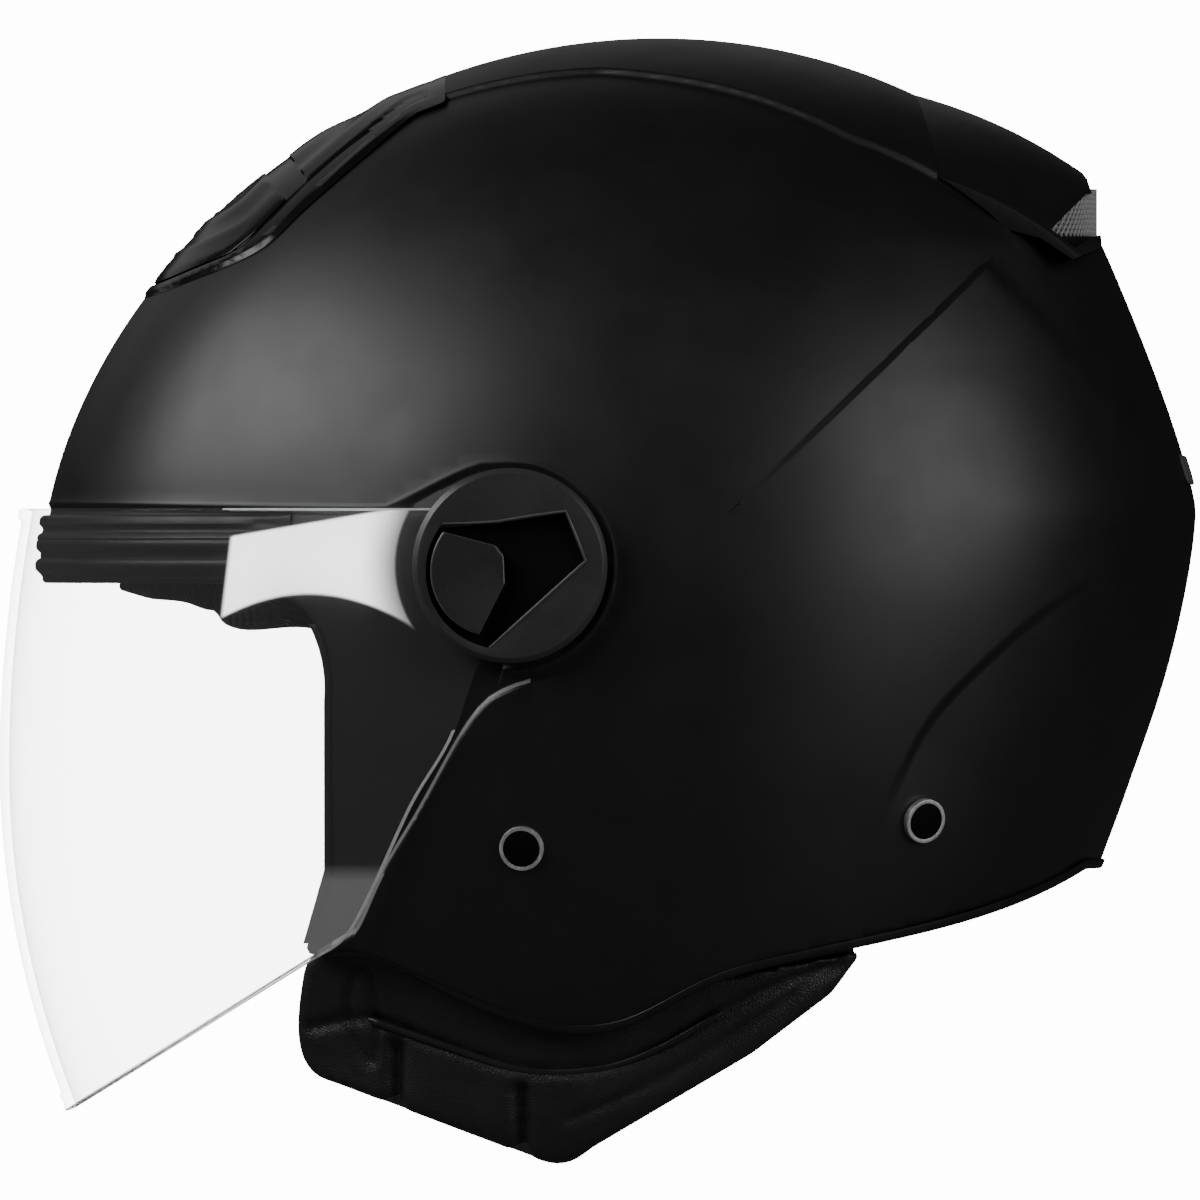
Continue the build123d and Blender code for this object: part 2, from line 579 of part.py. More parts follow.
for name, side in SIDES:
    with BuildPart() as pivot_hub:
        add(peg(PIVOT_X, 0, HUB_FLANGE_RADIUS, 105, HUB_FLANGE_FACE, side))
        add(peg(PIVOT_X, 0, HUB_RADIUS, 110, COVER_BACK - 0.3, side))
        add(peg(PIVOT_X, 0, PIVOT_SCREW_RADIUS + 0.05, 100, 130, side), mode=Mode.SUBTRACT)
        add(peg(PIVOT_X, 0, SCREW_HEAD_RADIUS + 0.2, COVER_BACK - 3.0, 130, side),
            mode=Mode.SUBTRACT)
        add(form(0), mode=Mode.SUBTRACT)
    save(pivot_hub.part, f"pivot_hub_{name}")

    with BuildPart() as pivot_cover:
        with BuildSketch(Plane.XZ.offset(-side * COVER_BACK)):
            with Locations((PIVOT_X, 0)):
                Circle(COVER_RADIUS)
        extrude(amount=-side * (COVER_FACE - COVER_BACK))
        chamfer(pivot_cover.faces().sort_by(Axis.Y)[0 if side < 0 else -1].edges(), length=1.2)
        with BuildSketch(Plane.XZ.offset(-side * (COVER_FACE - WINDOW_DEPTH))):
            with BuildLine():
                Polyline(*WINDOW)
                ThreePointArc(WINDOW[-1], WINDOW_ARC_MIDDLE, WINDOW[0])
            make_face()
        extrude(amount=-side * 5, mode=Mode.SUBTRACT)
    save(pivot_cover.part, f"pivot_cover_{name}")

    with BuildPart() as release_tab:
        with BuildSketch(Plane.XZ.offset(-side * (COVER_FACE - WINDOW_DEPTH + TAB_GAP))):
            with BuildLine():
                Polyline(*TAB)
                ThreePointArc(TAB[-1], (WINDOW_ARC_MIDDLE[0] + 0.8, WINDOW_ARC_MIDDLE[1]), TAB[0])
            make_face()
            offset(amount=-TAB_GAP)
        extrude(amount=-side * (WINDOW_DEPTH + TAB_RISE - TAB_GAP))
    save(release_tab.part, f"release_tab_{name}")

with BuildPart() as pivot_screws:
    for side in (-1, 1):
        head = COVER_BACK - 2.9
        add(peg(PIVOT_X, 0, PIVOT_SCREW_RADIUS, NUT_FACE - 4, head, side))
        add(peg(PIVOT_X, 0, SCREW_HEAD_RADIUS, head, head + SCREW_HEAD_DEPTH, side))
save(pivot_screws.part, "pivot_screws")

with BuildPart() as pivot_nuts:
    for side in (-1, 1):
        add(peg(PIVOT_X, 0, NUT_RADIUS, NUT_FACE - 5, NUT_FACE - 0.6, side))
        add(peg(PIVOT_X, 0, PIVOT_SCREW_RADIUS + 0.05, 100, 130, side), mode=Mode.SUBTRACT)
    add(form(SHELL_WALL + 0.05), mode=Mode.INTERSECT)
save(pivot_nuts.part, "pivot_nuts")

# ---- strap fasteners ----------------------------------------------------------
with BuildPart() as strap_rivets:
    for side in (-1, 1):
        for place in (FRONT_RIVET, REAR_RIVET):
            add(skin_pin(place, RIVET_SHANK_RADIUS, 13.6, RIVET_RISE, side))
            with BuildPart(mode=Mode.PRIVATE) as head:
                add(skin_pin(place, RIVET_HEAD_RADIUS, 1.5, RIVET_RISE, side))
                add(form(0), mode=Mode.SUBTRACT)
            add(head.part)
            add(skin_pin(place, RIVET_BOWL_RADIUS, -0.5, 3.0, side), mode=Mode.SUBTRACT)
save(strap_rivets.part, "strap_rivets")

with BuildPart() as rivet_plugs:
    for side in (-1, 1):
        for place in (FRONT_RIVET, REAR_RIVET):
            add(skin_pin(place, RIVET_BOWL_RADIUS - 0.1, -0.5, 1.7, side))
save(rivet_plugs.part, "rivet_plugs")

with BuildPart() as anchor_plates:
    for side in (-1, 1):
        for place, depth in ((FRONT_RIVET, FRONT_PLATE_DEPTH), (REAR_RIVET, REAR_PLATE_DEPTH)):
            with BuildSketch(skin_normal(*place, side).offset(-depth)):
                Circle(PLATE_RADIUS)
                Circle(RIVET_SHANK_RADIUS + 0.05, mode=Mode.SUBTRACT)
            extrude(amount=PLATE_WALL)
save(anchor_plates.part, "anchor_plates")

# ---- buckle under the chin -----------------------------------------------------
with BuildPart() as buckle_frame:
    with BuildSketch(Plane.YZ.offset(FRAME_X0)):
        with BuildLine():
            Polyline((FRAME_BACK, FRAME_TOP), (FRAME_FRONT, FRAME_TOP),
                     (FRAME_FRONT, FRAME_TOP - 7.0), (FRAME_BACK + 14, FRAME_FOOT),
                     (FRAME_BACK, FRAME_FOOT), close=True)
        make_face()
    extrude(amount=FRAME_X1 - FRAME_X0)
    with BuildSketch(Plane.YZ.offset(FRAME_X0 + FRAME_WALL)):
        with Locations(((FRAME_BACK + FRAME_FRONT) / 2, FRAME_TOP - FRAME_WALL - 10)):
            Rectangle(FRAME_FRONT - FRAME_BACK + 10, 20)
    extrude(amount=FRAME_X1 - FRAME_X0 - 2 * FRAME_WALL, mode=Mode.SUBTRACT)
    with BuildSketch(Plane.YZ.offset(FRAME_X0)):
        with Locations((LEVER_Y, LEVER_Z)):
            Circle(LEVER_PIN_RADIUS)
    extrude(amount=FRAME_X1 - FRAME_X0, mode=Mode.SUBTRACT)
save(buckle_frame.part, "buckle_frame")

with BuildPart() as buckle_pin:
    with BuildSketch(Plane.YZ.offset(FRAME_X0 - 0.5)):
        with Locations((LEVER_Y, LEVER_Z)):
            Circle(LEVER_PIN_RADIUS - 0.01)
    extrude(amount=FRAME_X1 - FRAME_X0 + 1.0)
save(buckle_pin.part, "buckle_pin")

with BuildPart() as buckle_lever:
    with BuildSketch(Plane.YZ.offset(FRAME_X0 + FRAME_WALL + LEVER_SIDE_GAP)):
        with BuildLine():
            Polyline((-16.5, -128.2), (-16.5, -124.4), (-11.5, -124.0), (-9.6, -123.0),
                     (-8.2, -124.6), (8.0, -125.2), (11.0, -126.6), (8.0, -127.4), close=True)
        make_face()
        with Locations((LEVER_Y, LEVER_Z)):
            Circle(LEVER_PIN_RADIUS + 0.06, mode=Mode.SUBTRACT)
    extrude(amount=FRAME_X1 - FRAME_X0 - 2 * (FRAME_WALL + LEVER_SIDE_GAP))
save(buckle_lever.part, "buckle_lever")

with BuildPart() as ratchet_tongue:
    with BuildSketch(Plane.YZ.offset(STRAP_X0 + 3.0)):
        with Locations((TONGUE_MIDDLE_Y, (TONGUE_TOP + TONGUE_FOOT) / 2)):
            Rectangle(TONGUE_LENGTH, TONGUE_TOP - TONGUE_FOOT)
        teeth = [(FIRST_TOOTH_Y + TOOTH_PITCH * step, TONGUE_FOOT) for step in range(TEETH)]
        with Locations(*teeth):
            Triangle(c=1.2, a=1.0, b=1.0, rotation=0, mode=Mode.SUBTRACT)
    extrude(amount=STRAP_X1 - STRAP_X0 - 6.0)
save(ratchet_tongue.part, "ratchet_tongue")

with BuildPart() as chin_pad:
    with BuildSketch(Plane.YZ.offset(STRAP_X0 - 3.0)):
        with BuildLine():
            Polyline((-20.0, -116.9), (40.0, -116.9), (38.0, -112.5), (-18.0, -112.5), close=True)
        make_face()
    extrude(amount=STRAP_X1 - STRAP_X0 + 6.0)
save(chin_pad.part, "chin_pad")
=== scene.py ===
from math import cos, pi, radians, sin, tau

import bmesh
import bpy
import numpy as np
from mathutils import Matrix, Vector


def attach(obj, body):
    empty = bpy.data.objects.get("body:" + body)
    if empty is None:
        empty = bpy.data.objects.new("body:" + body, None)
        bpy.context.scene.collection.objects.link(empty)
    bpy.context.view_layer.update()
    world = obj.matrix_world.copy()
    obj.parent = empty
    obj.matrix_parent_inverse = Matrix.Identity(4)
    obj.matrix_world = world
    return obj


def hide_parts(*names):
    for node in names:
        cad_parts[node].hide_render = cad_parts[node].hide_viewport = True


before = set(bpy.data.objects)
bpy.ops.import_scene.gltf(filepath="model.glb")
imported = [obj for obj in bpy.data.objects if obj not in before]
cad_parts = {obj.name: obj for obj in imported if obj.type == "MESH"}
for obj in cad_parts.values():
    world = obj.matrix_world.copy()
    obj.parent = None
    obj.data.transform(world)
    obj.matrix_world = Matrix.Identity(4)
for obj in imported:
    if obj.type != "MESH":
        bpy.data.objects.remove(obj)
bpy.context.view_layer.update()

# Shapes are worked out in millimetres in the CAD frame and become metres in make_mesh.
MM = 0.001

# ---- outer form of the helmet, the same one as in the CAD model ---------------
CENTRE_X = 9.6
FRONT_REACH, REAR_REACH, HALF_WIDTH = 148.4, 128.6, 120.5
WIDE_LEVEL, CROWN_HEIGHT, REAR_LEVEL = -12.0, 126.7, 13.4
PLAN_POWER = 2.2
BROW_POWER = 1.75
BACK_SLOPE, BACK_POWER = 0.36, 1.25
FRONT_TUCK, FRONT_TUCK_DEPTH = 13, 115       # how far the front draws in at this depth
REAR_TUCK, REAR_TUCK_POWER = 0.0296, 1.495
SIDE_TUCK = 0.00184
SHELL_WALL = 3.5
PIVOT_X = -26.2


def reaches(level, inset=0.0):
    """Front reach, rear reach and half width of the outer form at each level."""
    level = np.asarray(level, float)
    crown = CROWN_HEIGHT - inset
    high = np.clip(level / crown, 0, 1) ** BROW_POWER
    low = FRONT_TUCK * (np.clip(-level, 0, None) / FRONT_TUCK_DEPTH) ** 3
    front = (FRONT_REACH - inset) * np.sqrt(1 - high) - low
    rise = np.clip((level - REAR_LEVEL) / (crown - REAR_LEVEL), 0, 1)
    fall = REAR_TUCK * np.clip(REAR_LEVEL - level, 0, None) ** REAR_TUCK_POWER
    back = np.minimum(np.sqrt(1 - rise ** 2), 1 - BACK_SLOPE * rise ** BACK_POWER)
    rear = (REAR_REACH - inset) * back - fall
    rise = np.clip((level - WIDE_LEVEL) / (crown - WIDE_LEVEL), 0, 1)
    fall = SIDE_TUCK * np.clip(WIDE_LEVEL - level, 0, None) ** 2
    half = (HALF_WIDTH - inset) * np.sqrt(1 - rise ** 2) - fall
    return front, rear, half


def plan_point(angle, front, rear, half, power):
    """Point of the rounded plan outline at an angle, 0 at the back and pi at the face."""
    c, s = np.cos(angle), np.sin(angle)
    run, side = np.abs(c) ** (2 / power), np.abs(s) ** (2 / power)
    x = CENTRE_X + np.where(c > 0, rear * run, -front * run)
    return x, half * side * np.sign(s)


def form_point(angle, level):
    """Point of the outer form at a plan angle and a level."""
    x, y = plan_point(angle, *reaches(level), PLAN_POWER)
    return np.stack([x, y, np.broadcast_to(level, np.shape(x))], -1)


def form_y(x, level, inset=0.0):
    """Half width of the outer form at a place seen from the side."""
    front, rear, half = reaches(level, inset)
    run = np.abs(np.asarray(x) - CENTRE_X) / np.where(np.asarray(x) > CENTRE_X, rear, front)
    return half * np.clip(1 - run ** PLAN_POWER, 0, None) ** (1 / PLAN_POWER)


def form_angle(x, level):
    """Plan angle, from 0 to pi, of the outer form at a place seen from the side."""
    front, rear, _ = reaches(level)
    back = x > CENTRE_X
    turn = np.arccos((np.abs(x - CENTRE_X) / (rear if back else front)) ** (PLAN_POWER / 2))
    return float(turn if back else pi - turn)


def smoothstep(value):
    t = np.clip(value, 0, 1)
    return t * t * (3 - 2 * t)


# ---- curves drawn from the side -----------------------------------------------
def smooth_line(points, steps=10, closed=False):
    """Catmull-Rom curve through a few points, as a dense line."""
    p = np.asarray(points, float)
    if closed:
        p = np.vstack([p[-1], p, p[0], p[1]])
    else:
        p = np.vstack([2 * p[0] - p[1], p, 2 * p[-1] - p[-2]])
    t = np.linspace(0, 1, steps, endpoint=False)[:, None]
    out = []
    for a, b, c, d in zip(p, p[1:], p[2:], p[3:]):
        out.append(0.5 * (2 * b + (c - a) * t + (2 * a - 5 * b + 4 * c - d) * t ** 2
                          + (3 * b - a - 3 * c + d) * t ** 3))
    line = np.vstack(out)
    return line if closed else np.vstack([line, p[-2]])


def line_distance(x, z, line):
    """Distance to a line drawn from the side, positive on its left, and the share along it."""
    shape = np.shape(x)
    best, sign, along, lean = np.full(shape, 1e9), np.ones(shape), np.zeros(shape), np.zeros(shape)
    lengths = np.hypot(*np.diff(line, axis=0).T)
    starts = np.concatenate([[0], np.cumsum(lengths)])
    for (a, b, length, start) in zip(line, line[1:], lengths, starts):
        d = b - a
        t = np.clip(((x - a[0]) * d[0] + (z - a[1]) * d[1]) / (length ** 2 + 1e-12), 0, 1)
        gap = np.hypot(x - a[0] - t * d[0], z - a[1] - t * d[1])
        off = (d[0] * (z - a[1]) - d[1] * (x - a[0])) / (length + 1e-12)
        near = (gap < best - 1e-7) | ((gap < best + 1e-7) & (np.abs(off) > lean))
        best = np.where(near, gap, best)
        sign = np.where(near, np.sign(off), sign)
        lean = np.where(near, np.abs(off), lean)
        along = np.where(near, (start + t * length) / starts[-1], along)
    return best * sign, along


def inside_distance(x, z, outline):
    """Distance inside a closed outline drawn from the side, negative outside it."""
    ring = np.vstack([outline, outline[0]])
    gap, _ = line_distance(x, z, ring)
    odd = np.zeros(np.shape(x), bool)
    for a, b in zip(ring, ring[1:]):
        crosses = (a[1] > z) != (b[1] > z)
        with np.errstate(divide="ignore", invalid="ignore"):
            at = a[0] + (z - a[1]) * (b[0] - a[0]) / (b[1] - a[1])
        odd ^= crosses & (x < at)
    return np.where(odd, np.abs(gap), -np.abs(gap))


# ---- surfaces --------------------------------------------------------------------
# A surface is three values: its points, their outward normals and its faces.
DOME_STRETCH = 1.35       # share of a dome's rows that its crown takes up
EVEN_LEVEL = -20.0        # level whose outline sets how a grid's columns are spread


def even_angles(count, outline, start, end, samples):
    """Plan angles spread evenly along outline(angle, level), from a start to an end angle."""
    fine = np.linspace(start, end, samples)
    steps = np.linalg.norm(np.diff(outline(fine, EVEN_LEVEL), axis=0), axis=1)
    total = np.concatenate([[0], np.cumsum(steps)])
    return np.interp(np.linspace(0, total[-1], count), total, fine)


def grid_faces(rows, columns):
    """Quads of a grid of points, row after row."""
    first = np.arange(rows - 1)[:, None] * columns + np.arange(columns - 1)[None, :]
    quads = np.stack([first, first + 1, first + columns + 1, first + columns], -1)
    return [tuple(quad) for quad in quads.reshape(-1, 4).tolist()]


def grid_normals(points):
    """Unit normals of a grid of points, outwards from the middle of the helmet."""
    normal = np.cross(np.gradient(points, axis=1), np.gradient(points, axis=0))
    size = np.linalg.norm(normal, axis=-1, keepdims=True)
    normal = normal / np.maximum(size, 1e-9)
    out = points - np.array([CENTRE_X, 0, 0])
    flip = np.sign((normal * out).sum(-1, keepdims=True))
    return normal * np.where(flip == 0, 1, flip)


def cut(points, normals, faces, field, keep_both=False):
    """Cut a surface where field(points) crosses zero; the part below zero goes unless kept."""
    value = field(points)
    value = np.where(np.abs(value) < 1e-4, 1e-4, value)
    inside = value > 0
    flags = inside.tolist()
    kept, extra, extra_normals, made = [], [], [], {}
    for face in faces:
        count = sum(flags[v] for v in face)
        if count == len(face) or (count == 0 and keep_both):
            kept.append(face)
        if count in (0, len(face)):
            continue
        poly, rest = [], []
        for a, b in zip(face, (*face[1:], face[0])):
            (poly if flags[a] else rest).append(a)
            if flags[a] != flags[b]:
                key = (min(a, b), max(a, b))
                if key not in made:
                    t = value[a] / (value[a] - value[b])
                    made[key] = len(points) + len(extra)
                    extra.append(points[a] + (points[b] - points[a]) * t)
                    extra_normals.append(normals[a] + (normals[b] - normals[a]) * t)
                poly.append(made[key])
                rest.append(made[key])
        kept += [tuple(p) for p in ((poly, rest) if keep_both else (poly,)) if len(p) > 2]
    if extra:
        points = np.vstack([points, extra])
        normals = np.vstack([normals, extra_normals])
    used = np.unique(np.concatenate([np.asarray(f) for f in kept]))
    index = np.full(len(points), -1)
    index[used] = np.arange(len(used))
    index = index.tolist()
    normals = normals[used] / np.linalg.norm(normals[used], axis=1, keepdims=True)
    return points[used], normals, [tuple(index[v] for v in f) for f in kept]


def border_edges(faces):
    """Directed edges that only one face uses."""
    seen = {}
    for face in faces:
        for a, b in zip(face, (*face[1:], face[0])):
            seen[(a, b)] = seen.get((a, b), 0) + 1
    return [e for e in seen if (e[1], e[0]) not in seen]


def thicken(points, normals, faces, wall, rounding=0.4, inner=None):
    """Closed wall of a surface, growing inwards, with rounded rims."""
    edges = border_edges(faces)
    outward = np.zeros_like(points)
    for a, b in edges:
        along = points[b] - points[a]
        side = np.cross(along, normals[a] + normals[b])
        side /= max(np.linalg.norm(side), 1e-9)
        outward[a] += side
        outward[b] += side
    rim = sorted({v for e in edges for v in e})
    outward /= np.maximum(np.linalg.norm(outward, axis=1, keepdims=True), 1e-9)
    count = len(points)
    under = points - normals * wall if inner is None else inner
    layers = [points, under]
    place = {v: k for k, v in enumerate(rim)}
    r = min(rounding, wall * 0.45)
    steps = [(0.3 * r, 0.7), (r, 1.0), (wall - r, 1.0), (wall - 0.3 * r, 0.7)]
    for depth, reach in steps:
        way = (under[rim] - points[rim]) / wall
        layers.append(points[rim] + way * depth + outward[rim] * r * reach)
    out = [tuple(f) for f in faces]
    out += [tuple(v + count for v in reversed(f)) for f in faces]
    first = 2 * count
    for a, b in edges:
        ring_a = [a] + [first + k * len(rim) + place[a] for k in range(4)] + [a + count]
        ring_b = [b] + [first + k * len(rim) + place[b] for k in range(4)] + [b + count]
        for k in range(5):
            out.append((ring_a[k + 1], ring_b[k + 1], ring_b[k], ring_a[k]))
    return np.vstack(layers), out


def make_mesh(name, points, faces, sharp=35.0):
    """Blender object from points in millimetres."""
    mesh = bpy.data.meshes.new(name)
    mesh.from_pydata((np.asarray(points) * MM).tolist(), [], [list(map(int, f)) for f in faces])
    bm = bmesh.new()
    bm.from_mesh(mesh)
    bmesh.ops.remove_doubles(bm, verts=bm.verts, dist=1e-7)
    bmesh.ops.recalc_face_normals(bm, faces=bm.faces)
    bm.to_mesh(mesh)
    bm.free()
    piece = bpy.data.objects.new(name, mesh)
    bpy.context.scene.collection.objects.link(piece)
    finish_shading(piece, sharp)
    return piece


def finish_shading(piece, sharp=35.0):
    """Smooth shading, with edges kept sharp above an angle in degrees."""
    piece.data.polygons.foreach_set("use_smooth", [True] * len(piece.data.polygons))
    piece.data.set_sharp_from_angle(angle=radians(sharp))


def apply_modifiers(piece):
    """Turn a piece's modifiers into its mesh."""
    graph = bpy.context.evaluated_depsgraph_get()
    mesh = bpy.data.meshes.new_from_object(piece.evaluated_get(graph))
    piece.modifiers.clear()
    piece.data = mesh
    return piece


def place(piece, body, slot, material, *nodes):
    """Give a piece its body and finish, and hide the CAD nodes that it stands for; slot is not
    used.
    """
    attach(piece, body)
    if nodes:
        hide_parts(*nodes)
    piece.data.materials.clear()
    piece.data.materials.append(material)
    return piece


def dome(columns, rows, low, start=-pi, end=pi):
    """Grid over the outer form from a low level to the crown: points, normals, faces."""
    angles = even_angles(columns, form_point, start, end, 6000)
    skirt = int(rows * -low / (CROWN_HEIGHT * DOME_STRETCH - low))
    rise = np.sin(np.linspace(0, pi / 2, rows - skirt))
    levels = np.concatenate([np.linspace(low, 0, skirt, endpoint=False), CROWN_HEIGHT * rise])
    grid = form_point(angles[None, :], levels[:, None])
    normals = grid_normals(grid)
    normals[-1] = (0, 0, 1)
    normals[:, 0] = normals[:, -1] = (normals[:, 0] + normals[:, -1]) / 2
    return grid.reshape(-1, 3), normals.reshape(-1, 3), grid_faces(rows, columns)


def side_field(outline):
    """Field that is positive inside an outline drawn from the side."""
    return lambda p: inside_distance(p[:, 0], p[:, 2], outline)


def line_field(line):
    """Field of the distance to a line drawn from the side, positive on its left."""
    return lambda p: line_distance(p[:, 0], p[:, 2], line)[0]


def split_at(surface, field, levels):
    """Give a surface edges where field(points) equals each level."""
    for level in levels:
        surface = cut(*surface, lambda p, v=level: field(p) - v, keep_both=True)
    return surface


# ---- shell ---------------------------------------------------------------------
BROW_LEVEL = -3.2
HEM_REAR_LEVEL = -70.2
BROW_CURVE = [(-91.2, BROW_LEVEL), (-76.8, -8.2), (-70.8, -17.8), (-68.9, -32.2)]
BOTTOM_CURVE = [(-74.9, -93.4), (-62.4, -90.8), (-40.8, -99.8), (-24.2, -106.6), (-11.3, -109.2),
                (0.0, -108.0), (19.2, -98.6), (37.0, -92.9), (62.4, -87.4), (96.0, -77.9),
                (111.6, HEM_REAR_LEVEL)]
SHELL_OUTLINE = np.vstack([[(-170.0, BROW_LEVEL)], smooth_line(BROW_CURVE), [(-68.9, -72.5)],
                           smooth_line(BOTTOM_CURVE), [(170.0, HEM_REAR_LEVEL), (170.0, 140.0),
                                                       (-170.0, 140.0)]])
VENT_OUTLINE = [(-112.8, 64.5), (-106.6, 66.6), (-93.1, 72.0), (-84.0, 77.0), (-74.4, 86.2),
                (-56.0, 102.5), (-49.2, 108.2)]
VENT_LIP = 3.5
VENT_REAR_X = -42.0
CREASE = [(87.6, 73.0), (59.0, 45.0), (28.8, 15.8)]
PANEL_EDGE = [(117.6, 1.4), (103.2, -8.2), (91.2, -17.8), (74.4, -34.6), (64.8, -51.4),
              (60.0, -63.4)]
VISOR_RIDGE = [(-14.4, -25.0), (-27.4, -29.0), (-35.8, -36.2), (-48.2, -57.8), (-56.6, -72.0),
               (-62.6, -85.2), (-65.5, -87.6), (-73.7, -92.4)]
VISOR_SHOULDER = [(-140.0, 14.8), (-58.8, 13.4), (-52.8, 14.8), (-43.2, 19.6), (-36.4, 22.8),
                  (-30.5, 24.7)]
BAND_X = (-100, -88, -55, -5, 55, 91)
BAND_HALF = (19, 28, 31, 37.6, 56.7, 56)
BAND_FRONT, BAND_REAR = -104, 96     # the band's step dies away towards both
BAND_FADE_FRONT, BAND_FADE_REAR = 20, 14
BAND_FOOT = 45            # the band lies above this level
BAND_STEP, BAND_RAMP, BAND_DECAY = 1.3, 1.8, 16
HUB_RING = 24.3
HUB_BEAD, HUB_BEAD_WIDTH = 0.2, 0.5
HUB_SINK, HUB_RAMP, HUB_DECAY = 0.7, 1.2, 12
RIDGE_HIGHLIGHT_WIDTH = 0.86        # width of the painted highlight strip on the visor ridge's flank
HIGHLIGHT_FROM, HIGHLIGHT_TO = 0.06, 0.93    # shares of the ridge's length between which it runs
RIDGE_HIGHLIGHT_DEPTH = 1.5         # how far under the outer form a face may lie and still get the painted highlight
STEP_MARGIN = 0.5         # flat strip kept beside each step, so that its shading stays crisp
FAR = 60.0                # distance given to places that a step doesn't reach

# line, height of the step on its left, width of the step, how soon it dies away, and how
# much of the line's start and end it takes to come in and go out
STEPS = (
    (CREASE, 1.4, 1.2, 24.0, 0.02, 0.75),
    (PANEL_EDGE, -1.2, 2.5, 60.0, 0.35, 0.3),
    (VISOR_RIDGE, 1.5, 1.3, 26.0, 0.12, 0.0),
)


def vent_ring(rim):
    """Lower edge of the top vent moved in by rim, closed over the crown."""
    lower = smooth_line(VENT_OUTLINE) + np.array([0.55, 0.83]) * rim
    return np.vstack([[(-135.0, lower[0][1] - 1.0)], lower,
                      [(VENT_REAR_X - rim, 111.0 + rim), (VENT_REAR_X - rim, 140.0),
                       (-135.0, 140.0)]])


def fade(along, come_in, go_out):
    first = smoothstep(along / come_in) if come_in else 1.0
    last = smoothstep((1 - along) / go_out) if go_out else 1.0
    return first * last


def band_gap(points):
    """Distance outside the raised band over the crown, negative on the band."""
    half = np.interp(points[:, 0], BAND_X, BAND_HALF)
    return np.where(points[:, 2] > BAND_FOOT, np.abs(points[:, 1]) - half, FAR)


def hub_recess(points):
    """Distance inside the recess for the visor's arm: below its shoulder and round the pivot."""
    x, z = points[:, 0], points[:, 2]
    shoulder = -line_distance(x, z, smooth_line(VISOR_SHOULDER))[0]
    shoulder = np.where(x < VISOR_SHOULDER[-1][0], shoulder, -FAR)
    return np.maximum(shoulder, HUB_RING - np.hypot(x - PIVOT_X, z))


def shell_relief(points):
    """Height of the shell's face over the plain outer form."""
    x, z = points[:, 0], points[:, 2]
    height = np.zeros(len(points))
    for line, rise, ramp, decay, come_in, go_out in STEPS:
        s, along = line_distance(x, z, smooth_line(line))
        s = np.clip(s, 0, None)
        height += (rise * smoothstep(s / ramp) * np.exp(-np.clip(s - ramp, 0, None) / decay)
                   * fade(along, come_in, go_out))
    gap = np.clip(band_gap(points), 0, None)
    ends = (smoothstep((x - BAND_FRONT) / BAND_FADE_FRONT)
            * smoothstep((BAND_REAR - x) / BAND_FADE_REAR))
    height -= (BAND_STEP * smoothstep(gap / BAND_RAMP)
               * np.exp(-np.clip(gap - BAND_RAMP, 0, None) / BAND_DECAY) * ends)
    deep = hub_recess(points)
    height += HUB_BEAD * np.exp(-((deep + HUB_BEAD_WIDTH) / HUB_BEAD_WIDTH) ** 2)
    sunk = np.clip(deep, 0, None)
    return height - (HUB_SINK * smoothstep(sunk / HUB_RAMP)
                     * np.exp(-np.clip(sunk - HUB_RAMP, 0, None) / HUB_DECAY))


SHELL_COLUMNS = 250


def close_round(faces, columns):
    """Join the last column of a grid's faces to the first one, which has the same points."""
    last = columns - 1
    return [tuple(v - last if v % columns == last else v for v in face) for face in faces]


def make_shell():
    """Painted shell, with mesh edges laid along its steps, its band and the hub's recess."""
    points, normals, faces = dome(SHELL_COLUMNS, 110, -112.0)
    surface = cut(points, normals, close_round(faces, SHELL_COLUMNS), side_field(SHELL_OUTLINE))
    hole = side_field(vent_ring(VENT_LIP))
    surface = cut(*surface, lambda p: -hole(p))
    for line, _, ramp, *_ in STEPS:
        surface = split_at(surface, line_field(smooth_line(line)),
                           (-STEP_MARGIN, 0.0, ramp * 0.33, ramp * 0.66, ramp, ramp + STEP_MARGIN))
    surface = split_at(surface, band_gap,
                       (-STEP_MARGIN, 0.0, 0.6, 1.2, BAND_RAMP, BAND_RAMP + STEP_MARGIN))
    surface = split_at(surface, hub_recess,
                       (-1.5, -1.0, -0.5, 0.0, 0.6, HUB_RAMP, HUB_RAMP + STEP_MARGIN))
    points, normals, faces = surface
    face = points + normals * shell_relief(points)[:, None]
    solid = thicken(face, normals, faces, SHELL_WALL, 0.9, inner=points - normals * SHELL_WALL)
    return make_mesh("outer_shell_body", *solid, 60)


# ---- materials -------------------------------------------------------------------
def new_material(name, color, roughness, **values):
    """Principled material; each further value sets the input of that name."""
    material = bpy.data.materials.new(name)
    material.use_nodes = True
    shader = material.node_tree.nodes["Principled BSDF"]
    shader.inputs["Base Color"].default_value = (*color, 1)
    shader.inputs["Roughness"].default_value = roughness
    for key, value in values.items():
        shader.inputs[key.replace("_", " ")].default_value = value
    return material


def node(material, kind, links=(), **values):
    """Add a shader node, set its sockets or properties and link its inputs."""
    made = material.node_tree.nodes.new(kind)
    for key, value in values.items():
        if key in made.inputs:
            made.inputs[key].default_value = value
        else:
            setattr(made, key, value)
    for key, source in links:
        material.node_tree.links.new(source, made.inputs[key])
    return made


def place_coordinates(material):
    """Coordinates that stay with the piece as it moves."""
    return node(material, "ShaderNodeTexCoord").outputs["Object"]


def noise(material, scale, detail=3.0, where=None):
    """Soft random field; scale is in features per metre."""
    where = where or place_coordinates(material)
    made = node(material, "ShaderNodeTexNoise", [("Vector", where)], Scale=scale, Detail=detail,
                Roughness=0.55)
    return made.outputs["Fac"]


